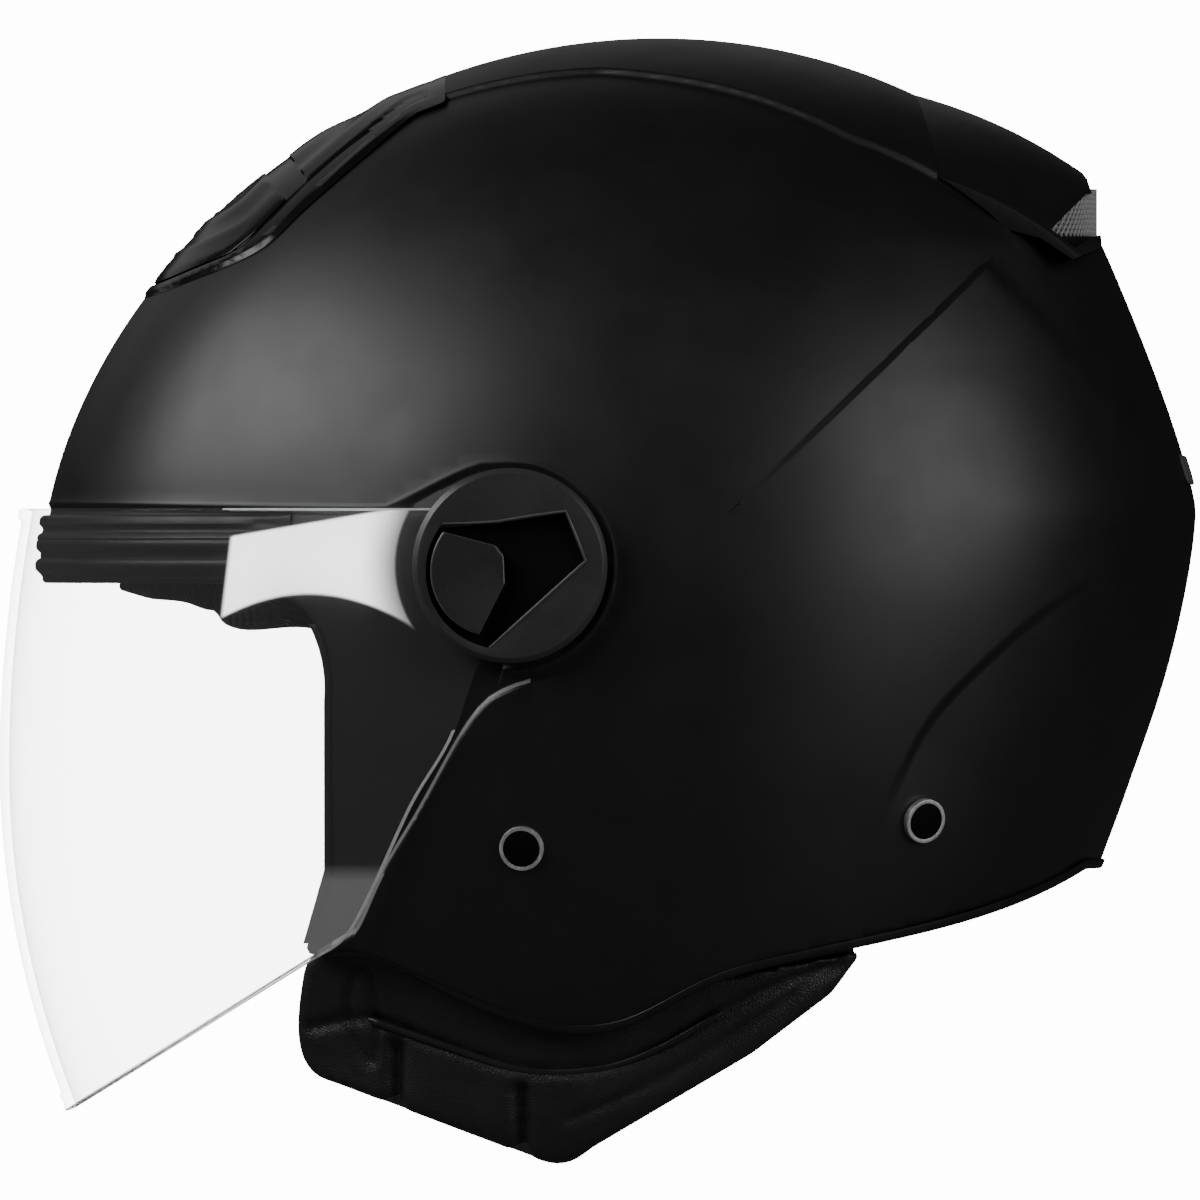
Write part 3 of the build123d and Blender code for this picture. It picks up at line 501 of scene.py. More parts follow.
def ramp(material, value, low, high, low_value, high_value):
    """Map a value between two limits, as a number."""
    made = node(material, "ShaderNodeMapRange", [("Value", value)])
    for key, number in zip(("From Min", "From Max", "To Min", "To Max"),
                           (low, high, low_value, high_value)):
        made.inputs[key].default_value = number
    return made.outputs["Result"]


def blend_colors(material, factor, first, second):
    """Mix of two colours, all of the second where factor is 1."""
    made = node(material, "ShaderNodeMix", data_type="RGBA")
    material.node_tree.links.new(factor, made.inputs["Factor"])
    made.inputs[6].default_value = (*first, 1)
    made.inputs[7].default_value = (*second, 1)
    return made.outputs[2]


def combine(material, operation, first, second):
    """Maths on two sockets or numbers."""
    made = node(material, "ShaderNodeMath", operation=operation)
    for socket, value in zip(made.inputs, (first, second)):
        if isinstance(value, (int, float)):
            socket.default_value = value
        else:
            material.node_tree.links.new(value, socket)
    return made.outputs[0]


def set_input(material, name, source):
    """Link a socket to one of the Principled shader's inputs."""
    shader = material.node_tree.nodes["Principled BSDF"]
    material.node_tree.links.new(source, shader.inputs[name])


def set_bump(material, height, strength, depth):
    """Bump of a height map; depth is in metres."""
    made = node(material, "ShaderNodeBump", [("Height", height)], Strength=strength,
                Distance=depth)
    set_input(material, "Normal", made.outputs["Normal"])


def uneven_shine(material, scale, low, high):
    """Roughness that drifts between two values."""
    set_input(material, "Roughness", ramp(material, noise(material, scale), 0.3, 0.7, low, high))


def moulded(name, color, roughness, grain=5000.0, spread=0.08, **more):
    """Plastic or paint with a fine grain, a little uneven in shine and shade."""
    material = new_material(name, color, roughness, **more)
    uneven_shine(material, 60.0, roughness - spread, roughness + spread)
    pale = tuple(c * 1.5 + 0.001 for c in color)
    set_input(material, "Base Color", blend_colors(material, noise(material, 900.0), color, pale))
    set_bump(material, noise(material, grain, 2.0), 0.35, 0.00004)
    return material


def woven(name, color, pale, pitch, depth):
    """Woven or knitted cloth: crossing waves, a thread pitch in metres apart."""
    material = new_material(name, color, 0.85, Sheen_Weight=0.35, Sheen_Roughness=0.4)
    where = place_coordinates(material)
    waves = []
    for way in ("X", "Y", "Z"):
        made = node(material, "ShaderNodeTexWave", [("Vector", where)], wave_type="BANDS",
                    bands_direction=way, Scale=0.314 / pitch, Distortion=0.6, Detail=1.0)
        made.inputs["Detail Scale"].default_value = 2.0
        waves.append(made.outputs["Fac"])
    crossed = combine(material, "MULTIPLY", waves[0], waves[2])
    weave = ramp(material, combine(material, "ADD", crossed, waves[1]), 0.0, 2.0, 0.0, 1.0)
    set_input(material, "Base Color", blend_colors(material, weave, color, pale))
    set_bump(material, weave, 0.7, depth)
    return material


def cells(material, scale, width):
    """Rounded cells with creases between them; width is the share that the crease takes."""
    made = node(material, "ShaderNodeTexVoronoi", [("Vector", place_coordinates(material))],
                Scale=scale, feature="DISTANCE_TO_EDGE")
    return ramp(material, made.outputs["Distance"], 0.0, width, 0.0, 1.0)


def leather(name, color, pale, roughness):
    """Leatherette: small rounded cells with creases between them."""
    material = new_material(name, color, roughness)
    set_input(material, "Base Color", blend_colors(material, noise(material, 300.0), color, pale))
    uneven_shine(material, 90.0, roughness - 0.08, roughness + 0.1)
    set_bump(material, cells(material, 1400.0, 0.35), 0.6, 0.00012)
    return material


def brushed(name, color, roughness):
    """Metal with fine scratches and light stains."""
    material = new_material(name, color, roughness, Metallic=1.0)
    stretched = node(material, "ShaderNodeMapping", [("Vector", place_coordinates(material))])
    stretched.inputs["Scale"].default_value = (1.0, 1.0, 0.08)
    lines = noise(material, 2500.0, where=stretched.outputs["Vector"])
    set_input(material, "Roughness", ramp(material, lines, 0.3, 0.7, roughness * 0.7,
                                          roughness * 1.5))
    dull = tuple(0.8 * c for c in color)
    set_input(material, "Base Color", blend_colors(material, noise(material, 220.0), dull, color))
    set_bump(material, lines, 0.2, 0.00002)
    return material


def foam(name):
    """Expanded beads pressed together."""
    material = new_material(name, (0.02, 0.02, 0.021), 0.75)
    rounded = cells(material, 330.0, 0.4)
    set_input(material, "Base Color", blend_colors(material, rounded, (0.008, 0.008, 0.008),
                                                   (0.026, 0.026, 0.027)))
    set_bump(material, rounded, 0.6, 0.0003)
    return material


# Pale glare painted over the visor's thick arms: a painted reflection that also glows. Its edges,
# seen from the side in millimetres:
GLARE_FRONT, GLARE_LEAN = -94.0, -0.12       # front edge and how it leans
GLARE_END = -47.0
GLARE_TOP, GLARE_TOP_SLOPE = 23.1, 0.17      # top edge
ARM_EDGE_X, ARM_EDGE_LEVEL, ARM_EDGE_BOW = -74.0, -7.2, 0.013    # hollow bottom edge
GLARE_NEAR, GLARE_FAR = 27.6, 36.0           # distances from the pivot over which it fades in
CORNER_GLARE_TOP, CORNER_GLARE_FRONT, CORNER_GLARE_SHARE = -71.0, -76.0, 0.11            # fainter painted glare in the rear corner
PAINTED_GLARE_GLOW = 2.2          # emission that makes full painted glare glow
# the screen's own grey tint, and the white of the painted glare
VISOR_TINT, VISOR_GLARE_WHITE = (0.1, 0.1, 0.105), (0.96, 0.97, 0.98)


def painted_arm_glare(material):
    """Share of painted glare over the visor's arm, from its front edge back to the pivot cover."""
    where = node(material, "ShaderNodeSeparateXYZ", [("Vector", place_coordinates(material))])
    x = combine(material, "MULTIPLY", where.outputs["X"], 1 / MM)
    z = combine(material, "MULTIPLY", where.outputs["Z"], 1 / MM)
    off = combine(material, "SUBTRACT", x, ARM_EDGE_X)
    bow = combine(material, "MULTIPLY", combine(material, "MULTIPLY", off, off), ARM_EDGE_BOW)
    low = combine(material, "ADD", combine(material, "ADD", z, bow), -ARM_EDGE_LEVEL)
    high = combine(material, "SUBTRACT", combine(material, "MULTIPLY", x, GLARE_TOP_SLOPE), z)
    slant = combine(material, "ADD", x, combine(material, "MULTIPLY", z, GLARE_LEAN))
    away = combine(material, "SUBTRACT", x, PIVOT_X)
    away = combine(material, "SQRT", combine(material, "ADD",
                                             combine(material, "MULTIPLY", away, away),
                                             combine(material, "MULTIPLY", z, z)), 0)
    share = ramp(material, noise(material, 26.0), 0.35, 0.65, 0.75, 0.97)
    for limit in (ramp(material, slant, GLARE_FRONT, GLARE_FRONT + 1.2, 0.0, 1.0),
                  ramp(material, low, 0.0, 1.0, 0.0, 1.0),
                  ramp(material, high, -GLARE_TOP, 0.8 - GLARE_TOP, 0.0, 1.0),
                  ramp(material, x, GLARE_END - 1.0, GLARE_END, 1.0, 0.0),
                  ramp(material, away, GLARE_NEAR, GLARE_FAR, 0.3, 1.0),
                  ramp(material, away, GLARE_NEAR - 0.6, GLARE_NEAR, 0.0, 1.0)):
        share = combine(material, "MULTIPLY", share, limit)
    corner = combine(material, "MULTIPLY", ramp(material, z, CORNER_GLARE_TOP - 4, CORNER_GLARE_TOP, 1.0, 0.0),
                     ramp(material, x, CORNER_GLARE_FRONT - 2, CORNER_GLARE_FRONT, 0.0, CORNER_GLARE_SHARE))
    return combine(material, "MAXIMUM", share, corner)


def visor_material():
    """Clear polycarbonate with a faint grey tint, and a pale glowing painted glare over its thick
    side arms.
    """
    material = new_material("visor_clear", VISOR_TINT, 0.06, IOR=1.35)
    glare = painted_arm_glare(material)
    facing = node(material, "ShaderNodeLayerWeight", Blend=0.25).outputs["Facing"]
    tint = ramp(material, combine(material, "POWER", facing, 3.0), 0.0, 1.0, 0.16, 0.6)
    set_input(material, "Alpha", combine(material, "MAXIMUM", tint, glare))
    set_input(material, "Base Color", blend_colors(material, glare, VISOR_TINT, VISOR_GLARE_WHITE))
    uneven_shine(material, 35.0, 0.04, 0.1)
    # the painted glare glows by its own emission
    set_input(material, "Emission Strength", combine(material, "MULTIPLY", glare, PAINTED_GLARE_GLOW))
    return material


def visor_edge_material():
    """Cut edge of the visor: frosted, and painted brighter than the clear faces as a painted
    highlight.
    """
    material = new_material("visor_edge_frost_and_highlight", (0.55, 0.56, 0.58), 0.3, Alpha=0.8)
    set_input(material, "Base Color", blend_colors(material, noise(material, 500.0),
                                                   (0.4, 0.41, 0.43), (0.8, 0.82, 0.84)))
    uneven_shine(material, 900.0, 0.2, 0.45)
    return material


MATERIALS = {
    "shell_paint": moulded("shell_paint", (0.0045, 0.0045, 0.0047), 0.42, spread=0.03),
    "vent_gloss": moulded("vent_gloss", (0.004, 0.004, 0.0045), 0.17, spread=0.05,
                          Specular_IOR_Level=0.35),
    "trim_rubber": moulded("trim_rubber", (0.003, 0.003, 0.003), 0.45, grain=2500.0),
    "vent_grey": moulded("vent_grey", (0.25, 0.25, 0.255), 0.45, grain=3000.0),
    "plaque_grey": moulded("plaque_grey", (0.07, 0.07, 0.075), 0.45),
    "foam": foam("foam"),
    "lining": woven("lining", (0.006, 0.006, 0.007), (0.03, 0.03, 0.032), 0.0016, 0.0003),
    "leatherette": leather("leatherette", (0.008, 0.008, 0.009), (0.015, 0.015, 0.016), 0.48),
    "piping": moulded("piping", (0.012, 0.012, 0.013), 0.3, grain=2500.0),
    "webbing": woven("webbing", (0.006, 0.006, 0.006), (0.022, 0.022, 0.023), 0.0011, 0.0004),
    "visor_clear": visor_material(),
    # frosted cut edge of the visor, with a painted highlight
    "visor_edge_frost_and_highlight": visor_edge_material(),
    "window_black": moulded("window_black", (0.001, 0.001, 0.001), 0.7, grain=3000.0,
                            Specular_IOR_Level=0.1),
    # painted highlight along the visor ridge's flank
    "ridge_painted_highlight": moulded("ridge_painted_highlight", (0.2, 0.2, 0.205), 0.35, spread=0.05),
    # painted highlight for the edges of pivot caps, their window beads and release catches
    "edge_painted_highlight": moulded("edge_painted_highlight", (0.07, 0.07, 0.072), 0.3, grain=4000.0),
    "chrome": brushed("chrome", (0.9, 0.9, 0.92), 0.4),
    "steel": brushed("steel", (0.42, 0.42, 0.43), 0.32),
    "pivot_plastic": moulded("pivot_plastic", (0.026, 0.026, 0.028), 0.4, grain=4000.0),
    "tab_plastic": moulded("tab_plastic", (0.02, 0.02, 0.021), 0.4, grain=3500.0),
    "buckle_plastic": moulded("buckle_plastic", (0.02, 0.02, 0.02), 0.38, grain=3500.0),
}


SHARP_ANGLE = 32.0        # edges of CAD solids are rounded above this angle, in degrees


def cad_copy(name, node_name, width=0.0):
    """Blender piece made from a CAD node, its sharp edges rounded to a width in millimetres."""
    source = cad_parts[node_name]
    mesh = source.data.copy()
    mesh.name = name
    bm = bmesh.new()
    bm.from_mesh(mesh)
    bmesh.ops.remove_doubles(bm, verts=bm.verts, dist=2e-6)
    bmesh.ops.dissolve_degenerate(bm, dist=1e-6, edges=bm.edges)
    bm.to_mesh(mesh)
    bm.free()
    piece = bpy.data.objects.new(name, mesh)
    bpy.context.scene.collection.objects.link(piece)
    if width:
        rounder = piece.modifiers.new("round", "BEVEL")
        rounder.width = width * MM
        rounder.segments = 3
        rounder.limit_method = "ANGLE"
        rounder.angle_limit = radians(SHARP_ANGLE)
        rounder.harden_normals = False
        apply_modifiers(piece)
    finish_shading(piece, SHARP_ANGLE)
    return piece


def paint_ridge_highlight(shell):
    """Painted highlight: a brighter colour on the flank of the ridge that runs along the visor's
    edge.
    """
    shell.data.materials.append(MATERIALS["ridge_painted_highlight"])
    center = np.array([face.center / MM for face in shell.data.polygons])
    s, along = line_distance(center[:, 0], center[:, 2], smooth_line(VISOR_RIDGE))
    outer = np.abs(center[:, 1]) > form_y(center[:, 0], center[:, 2]) - RIDGE_HIGHLIGHT_DEPTH
    flank = outer & (s > 0) & (s < RIDGE_HIGHLIGHT_WIDTH) & (along > HIGHLIGHT_FROM) & (along < HIGHLIGHT_TO)
    shell.data.polygons.foreach_set("material_index", flank.astype(np.int32))


shell = place(make_shell(), "helmet", "shell_paint", MATERIALS["shell_paint"], "outer_shell")
paint_ridge_highlight(shell)

# ---- trims -----------------------------------------------------------------------
TRIM_END_X = -79.0
TRIM_TAPER = 4            # degrees of the plan over which the brow band's ends thin out
TRIM_IN = 0.6
# height up the brow and stand-off from the shell, from the top edge down
BROW_PROFILE = [(12.3, -0.2), (12.0, 0.9), (11.3, 1.5), (9.8, 1.5), (9.2, 0.7), (8.6, 0.4),
                (7.9, 0.6), (7.4, 1.3), (6.4, 1.6), (6.1, 1.3), (5.8, 1.6), (4.2, 1.55),
                (3.7, 1.1), (3.1, 0.4), (1.9, 0.4), (1.4, 1.2), (0.6, 1.6), (-0.8, 1.5),
                (-1.4, 0.9), (-2.0, 0.3), (-2.6, -0.2)]


def make_brow_trim():
    """Ribbed rubber band round the brow, its ends thinning out beside the face port."""
    profile = np.array(BROW_PROFILE)
    first = form_angle(TRIM_END_X, 5.0)
    angles = np.linspace(first, tau - first, 160)
    ends = np.minimum(angles - first, tau - first - angles)
    thin = np.clip(ends / radians(TRIM_TAPER), 0.05, 1)
    level, rise = profile[:, 0][:, None], profile[:, 1][:, None]
    wrapped = np.where(angles > pi, angles - tau, angles)[None, :]
    base = form_point(wrapped + 0 * level, level + 0 * wrapped)
    normal = grid_normals(base)
    outer = base + normal * (np.where(rise > 0, rise * thin, rise))[..., None]
    return make_mesh("brow_band", *close_grids(outer, base - normal * TRIM_IN), 50)


def close_grids(outer, inner):
    """Closed solid between two grids of the same shape."""
    rows, columns = outer.shape[:2]
    count = rows * columns
    faces = grid_faces(rows, columns)
    out = faces + [tuple(v + count for v in reversed(f)) for f in faces]
    ring = (list(range(columns)) + [r * columns + columns - 1 for r in range(1, rows)]
            + [(rows - 1) * columns + c for c in range(columns - 2, -1, -1)]
            + [r * columns for r in range(rows - 2, 0, -1)])
    for a, b in zip(ring, (*ring[1:], ring[0])):
        out.append((b, a, a + count, b + count))
    return np.vstack([outer.reshape(-1, 3), inner.reshape(-1, 3)]), out


def add_tube(points, faces, line, radii, sides=8):
    """Tube along a line, added to lists of points and faces, with closed ends."""
    line = np.asarray(line, float)
    way = np.gradient(line, axis=0)
    way /= np.linalg.norm(way, axis=1, keepdims=True)
    up = np.array([0.0, 0.0, 1.0]) if abs(way[0][2]) < 0.9 else np.array([1.0, 0.0, 0.0])
    first = len(points)
    for here, along, radius in zip(line, way, radii):
        across = np.cross(along, up)
        across /= np.linalg.norm(across)
        up = np.cross(across, along)
        for k in range(sides):
            turn = tau * k / sides
            points.append(here + radius * (cos(turn) * across + sin(turn) * up))
    for r in range(len(line) - 1):
        for k in range(sides):
            n = (k + 1) % sides
            a, b = first + r * sides, first + (r + 1) * sides
            faces.append((a + k, a + n, b + n, b + k))
    last = first + (len(line) - 1) * sides
    faces.append(tuple(first + k for k in reversed(range(sides))))
    faces.append(tuple(last + k for k in range(sides)))


def tube(name, line, radius):
    """Tube along a line as a piece of its own, thinner at both ends."""
    points, faces = [], []
    line = np.asarray(line, float)
    radii = np.full(len(line), float(radius))
    radii[[0, -1]] *= 0.5
    add_tube(points, faces, line, radii, 10)
    return make_mesh(name, np.array(points), faces, 60)


# ---- vents -----------------------------------------------------------------------
SLIDER_WAY = np.array([0.697, 0.717])
SLIDER_FRONT = [(-108.4, 68.6), (-93.1, 74.8), (-88.0, 79.0)]
SLIDER_LENGTH = 11.5
SLIDER_TRAVEL = 6.0
SLIDER_TOP, SLIDER_WALL = 0.72, 0.5
SLIDER_EDGE = 0.9         # width of the slider's lowered edge
TRACK_GAP, TRACK_ROOM = 0.5, SLIDER_TRAVEL + 0.7
VENT_BASE = 0.1           # height of the vent's outermost edge over the shell
LIP_STEP, GROOVE_STEP, BODY_STEP = 0.55, 1.5, 1.25
FLUSH_LENGTH = 16         # stretch over which the vent's rear end sinks into the shell
RIB_HEIGHT, RIB_PITCH, RIB_START = 0.4, 4.6, 6.5
RIBS_FROM, RIBS_TO = 5, 20           # distances from the vent's edge between which they show
GRIP_HEIGHT, GRIP_PITCH, GRIP_HALF = 0.25, 3.4, 14
PATCH_REACH, PATCH_FOOT = radians(150), 60.0


def slider_ring(gap=0.0, room=0.0):
    """Vent slider seen from the side; gap widens it and room lengthens its track."""
    front = np.array(SLIDER_FRONT) - np.array([0.5, 0.85]) * gap
    reach = SLIDER_LENGTH + 2 * gap + room
    top = np.array([-90.0, 100.0]) + SLIDER_WAY * (gap + room)
    return np.vstack([[(-130.0, front[0][1] - 6.0)], front, [front[-1] + SLIDER_WAY * reach],
                      [top], [(-130.0, 118.0)]])


def vent_ribs(inside):
    """Long ribs that follow the vent's lower edge."""
    share = smoothstep((inside - RIBS_FROM) / 3) * (1 - smoothstep((inside - RIBS_TO) / 3))
    return RIB_HEIGHT * np.cos(tau * (inside - RIB_START) / RIB_PITCH) * share


def vent_relief(points):
    """Height of the top vent's face: lip, groove, ribbed body, and none under the slider."""
    x, z = points[:, 0], points[:, 2]
    inside = inside_distance(x, z, vent_ring(0))
    lip = smoothstep(inside / 0.8)
    groove = smoothstep((inside - 2.0) / 0.7)
    body = smoothstep((inside - 3.6) / 1.2)
    flush = smoothstep((VENT_REAR_X - 1.0 - x) / FLUSH_LENGTH)
    steps = LIP_STEP * lip - GROOVE_STEP * groove + BODY_STEP * body
    height = VENT_BASE + (steps + vent_ribs(inside)) * flush
    track = inside_distance(x, z, slider_ring(TRACK_GAP, TRACK_ROOM))
    return height - height * smoothstep(track / 0.5 + 1)


def vent_patch(ring):
    """Fine surface of the outer form over the crown's front, cut to an outline."""
    patch = dome(170, 190, -1.0, pi - PATCH_REACH, pi + PATCH_REACH)
    patch = cut(*patch, lambda p: p[:, 2] - PATCH_FOOT)
    return cut(*patch, side_field(ring))


def make_vent_housing():
    """Frame of the top vent, thin under its lip and thicker where it fills the shell's hole."""
    inside = side_field(vent_ring(0))
    surface = split_at(vent_patch(vent_ring(0)), inside, (0.8, 2.0, 2.7, 3.6, 4.8))
    track = side_field(slider_ring(TRACK_GAP, TRACK_ROOM))
    points, normals, faces = split_at(surface, track, (0.0, -0.5))
    face = points + normals * vent_relief(points)[:, None]
    under = points - normals * np.where(inside(points) > 4.4, 2.9, 0.05)[:, None]
    return make_mesh("top_vent_frame", *thicken(face, normals, faces, 1.0, 0.2, inner=under), 42)


def make_vent_slider():
    """Ribbed slider of the top vent, with grip bars across its middle."""
    edge = side_field(slider_ring())
    points, normals, faces = split_at(vent_patch(slider_ring()), edge, (SLIDER_EDGE,))
    inside = edge(points)
    along = points[:, 0] * SLIDER_WAY[0] + points[:, 2] * SLIDER_WAY[1]
    grip = GRIP_HEIGHT * np.cos(tau * along / GRIP_PITCH)
    grip *= smoothstep((GRIP_HALF - np.abs(points[:, 1])) / 2) * smoothstep((inside - 2) / 2)
    ribs = vent_ribs(side_field(vent_ring(0))(points)) * smoothstep(inside / 1.5)
    height = SLIDER_TOP - 0.3 * (1 - smoothstep(inside / SLIDER_EDGE))
    height += np.clip(grip + ribs, -0.2, 0.4)
    solid = thicken(points + normals * height[:, None], normals, faces, SLIDER_WALL, 0.3,
                    inner=points + normals * (SLIDER_TOP - SLIDER_WALL))
    return make_mesh("vent_shutter", *solid, 42)


GRILLE = [(101.6, 79.2), (111.6, 89.9), (124.0, 92.4), (124.0, 78.2), (113.8, 78.0),
          (108.0, 75.0)]
GRILLE_REACH, GRILLE_HALF_WIDTH = 104.5, 91.2
GRILLE_HALF = 55.5
MESH_FOOT, MESH_TOP = 72.0, 93.0
MESH_STEP = 2.4
MESH_WIRE = 0.8
MESH_PANEL = 1.0          # how far the closed panel stands behind the wires


def mesh_wall(level, across, inset):
    """Points of the upright wall behind the exhaust openings."""
    run = np.clip(1 - np.abs(across / GRILLE_HALF_WIDTH) ** PLAN_POWER, 0, None)
    x = CENTRE_X + (GRILLE_REACH - inset) * run ** (1 / PLAN_POWER)
    return np.stack([x + 0 * level[:, None], across + 0 * level[:, None],
                     level[:, None] + 0 * x], -1).reshape(-1, 3)


def make_grille():
    """Upright diamond mesh in front of a dark panel, behind the exhaust openings."""
    level = np.arange(MESH_FOOT, MESH_TOP, MESH_STEP * 0.5)
    across = np.arange(-GRILLE_HALF, GRILLE_HALF + 0.1, MESH_STEP * 0.5)
    rows, columns = len(level), len(across)
    faces = []
    for r in range(1, rows - 1):
        for c in range(1 + (r % 2), columns - 1, 2):
            faces.append(((r - 1) * columns + c, r * columns + c + 1, (r + 1) * columns + c,
                          r * columns + c - 1))
    normals = np.tile(np.array([1.0, 0, 0]), (rows * columns, 1))
    inside = side_field(np.array(GRILLE))
    points, _, faces = cut(mesh_wall(level, across, 0), normals, faces, inside)
    wires = make_mesh("exhaust_grille", points, faces)
    wire = wires.modifiers.new("wire", "WIREFRAME")
    wire.thickness = MESH_WIRE * MM
    wire.use_even_offset = False
    apply_modifiers(wires)
    panel = cut(mesh_wall(level, across, MESH_PANEL), normals, grid_faces(rows, columns), inside)
    panel = make_mesh("grille_panel", *thicken(*panel, 0.6, 0.1))
    bm = bmesh.new()
    bm.from_mesh(wires.data)
    count = len(bm.faces)
    bm.from_mesh(panel.data)
    bm.faces.ensure_lookup_table()
    for face in bm.faces[count:]:
        face.material_index = 1
    bm.to_mesh(wires.data)
    bm.free()
    bpy.data.objects.remove(panel)
    finish_shading(wires)
    return wires


# ---- visor -----------------------------------------------------------------------
VISOR_WALL = 2.2
VISOR_POWER = 2.3
VISOR_BULGE_X, VISOR_BULGE_LEVEL = -148.8, -48.0
VISOR_HALF_WIDTH = 122.8
NOSE_BOW_HIGH, NOSE_BOW_LOW = 0.0015, 0.0024     # how fast the front curves back, above and below
SIDE_BOW_HIGH, SIDE_BOW_LOW = 0.0015, 0.00088    # how fast the sides draw in, above and below
VISOR_REAR_RUN = 0.34     # share of the rear reach at which the grid of the visor starts
VISOR_TOP = 13.2
VISOR_REAR_EDGE = [(PIVOT_X, -19.0), (-33.6, -22.0), (-40.8, -41.0), (-50.0, -56.5),
                   (-59.5, -77.0), (-66.0, -88.5), (-74.4, -94.1)]
VISOR_TIP = (-133.2, -130.6)
VISOR_HEM_END = (-170.0, -151.0)
VISOR_HEM = np.array([VISOR_REAR_EDGE[-1], VISOR_TIP, VISOR_HEM_END])
ARM_RADIUS = 19.0
HUB_HOLE = 8.98
LIP_WIDTH, LIP_RISE, LIP_RAMP = 2.6, 1.0, 1.0
HEM_WIDTH, HEM_RISE, HEM_RAMP = 3.4, 0.7, 0.8
HEM_GROOVE, GROOVE_DEPTH, GROOVE_WIDTH = 1.9, 0.5, 0.5
HIGHLIGHT_EDGE_TOP = -38.0          # the cut edge shows frosted with a painted highlight below this level, and along the arms


def visor_point(angle, level):
    """Point of the visor's bulged form."""
    level = np.asarray(level, float)
    bow = np.where(level > VISOR_BULGE_LEVEL, NOSE_BOW_HIGH, NOSE_BOW_LOW)
    nose = VISOR_BULGE_X + bow * (level - VISOR_BULGE_LEVEL) ** 2
    half = VISOR_HALF_WIDTH - np.where(level > 0, SIDE_BOW_HIGH, SIDE_BOW_LOW) * level ** 2
    x, y = plan_point(angle, CENTRE_X - nose, REAR_REACH, half, VISOR_POWER)
    return np.stack([x, y, np.broadcast_to(level, np.shape(x))], -1)


def visor_field(points):
    """Distance inside the visor seen from the side: the screen and the ring round its pivot."""
    x, z = points[:, 0], points[:, 2]
    outline = np.vstack([[(PIVOT_X, VISOR_TOP)], smooth_line(VISOR_REAR_EDGE),
                         [VISOR_TIP, VISOR_HEM_END, (VISOR_HEM_END[0], VISOR_TOP)]])
    screen = inside_distance(x, z, outline)
    radius = np.hypot(x - PIVOT_X, z)
    return np.minimum(np.maximum(screen, ARM_RADIUS - radius), radius - HUB_HOLE)


def hem_gap(points):
    """Distance from the line of the visor's hem."""
    return np.abs(line_field(VISOR_HEM)(points))


def visor_relief(points):
    """Rolled lip along the top and a thick double edge along the hem."""
    x, z = points[:, 0], points[:, 2]
    top = LIP_RISE * smoothstep((z - (VISOR_TOP - LIP_WIDTH)) / LIP_RAMP)
    hem = hem_gap(points)
    edge = HEM_RISE * (1 - smoothstep((hem - HEM_WIDTH) / HEM_RAMP))
    groove = GROOVE_DEPTH * np.exp(-((hem - HEM_GROOVE) / GROOVE_WIDTH) ** 2)
    return top * smoothstep((-60 - x) / 20) + (edge - groove) * smoothstep((-88 - z) / 4)


def make_visor():
    """Clear screen with its arms, lip and hem; its cut edges have a frosted finish with a painted
    highlight of their own.
    """
    rear = float(np.arccos(VISOR_REAR_RUN))
    angles = even_angles(230, visor_point, rear, tau - rear, 4000)
    levels = np.linspace(-140.0, 20.0, 66)
    grid = visor_point(angles[None, :], levels[:, None])
    surface = (grid.reshape(-1, 3), grid_normals(grid).reshape(-1, 3),
               grid_faces(*grid.shape[:2]))
    lip = VISOR_TOP - LIP_WIDTH
    surface = split_at(cut(*surface, visor_field), lambda p: p[:, 2], (lip, lip + 0.9))
    points, normals, faces = split_at(surface, hem_gap,
                                      (1.3, HEM_GROOVE, 2.5, HEM_WIDTH, HEM_WIDTH + HEM_RAMP))
    face = points + normals * visor_relief(points)[:, None]
    solid = thicken(face, normals, faces, VISOR_WALL, 0.5, inner=points - normals * VISOR_WALL)
    screen = make_mesh("visor_screen", *solid, 40)
    place(screen, "visor", "visor_clear", MATERIALS["visor_clear"], "visor")
    screen.data.materials.append(MATERIALS["visor_edge_frost_and_highlight"])
    # cut-edge faces low on the screen and along the arms get the painted highlight
    rim = []
    for k, face in enumerate(screen.data.polygons):
        x, _, z = face.center / MM
        frosted_highlight = z < HIGHLIGHT_EDGE_TOP or (z > VISOR_TOP - 0.6 and GLARE_FRONT < x)
        rim.append(k >= 2 * len(faces) and frosted_highlight)
    screen.data.polygons.foreach_set("material_index", np.array(rim, np.int32))
    return screen


# ---- soft pieces -------------------------------------------------------------------
def soften(name, node_name, voxel, rounds):
    """Soft piece from a CAD solid: remeshed evenly and relaxed until its edges are round."""
    piece = cad_copy(name, node_name)
    remesh = piece.modifiers.new("remesh", "REMESH")
    remesh.mode = "VOXEL"
    remesh.voxel_size = voxel * MM
    relax = piece.modifiers.new("relax", "SMOOTH")
    relax.factor = 0.5
    relax.iterations = rounds
    apply_modifiers(piece)
    finish_shading(piece, 180)
    return piece


def mesh_points(piece):
    """Points and normals of a piece, in millimetres."""
    mesh = piece.data
    points = np.empty(len(mesh.vertices) * 3)
    normals = np.empty(len(mesh.vertices) * 3)
    mesh.vertices.foreach_get("co", points)
    mesh.vertices.foreach_get("normal", normals)
    return points.reshape(-1, 3) / MM, normals.reshape(-1, 3)


def move_points(piece, points):
    """Give a piece new points, in millimetres."""
    piece.data.vertices.foreach_set("co", (points * MM).ravel())
    piece.data.update()


def dent(gap, depth, width):
    """Sunken line where a gap is zero."""
    return -depth * np.exp(-(gap / width) ** 2)


def seam_dent(points, line, depth, width):
    """Dent along a seam drawn from the side."""
    return dent(line_field(np.asarray(line, float))(points), depth, width)


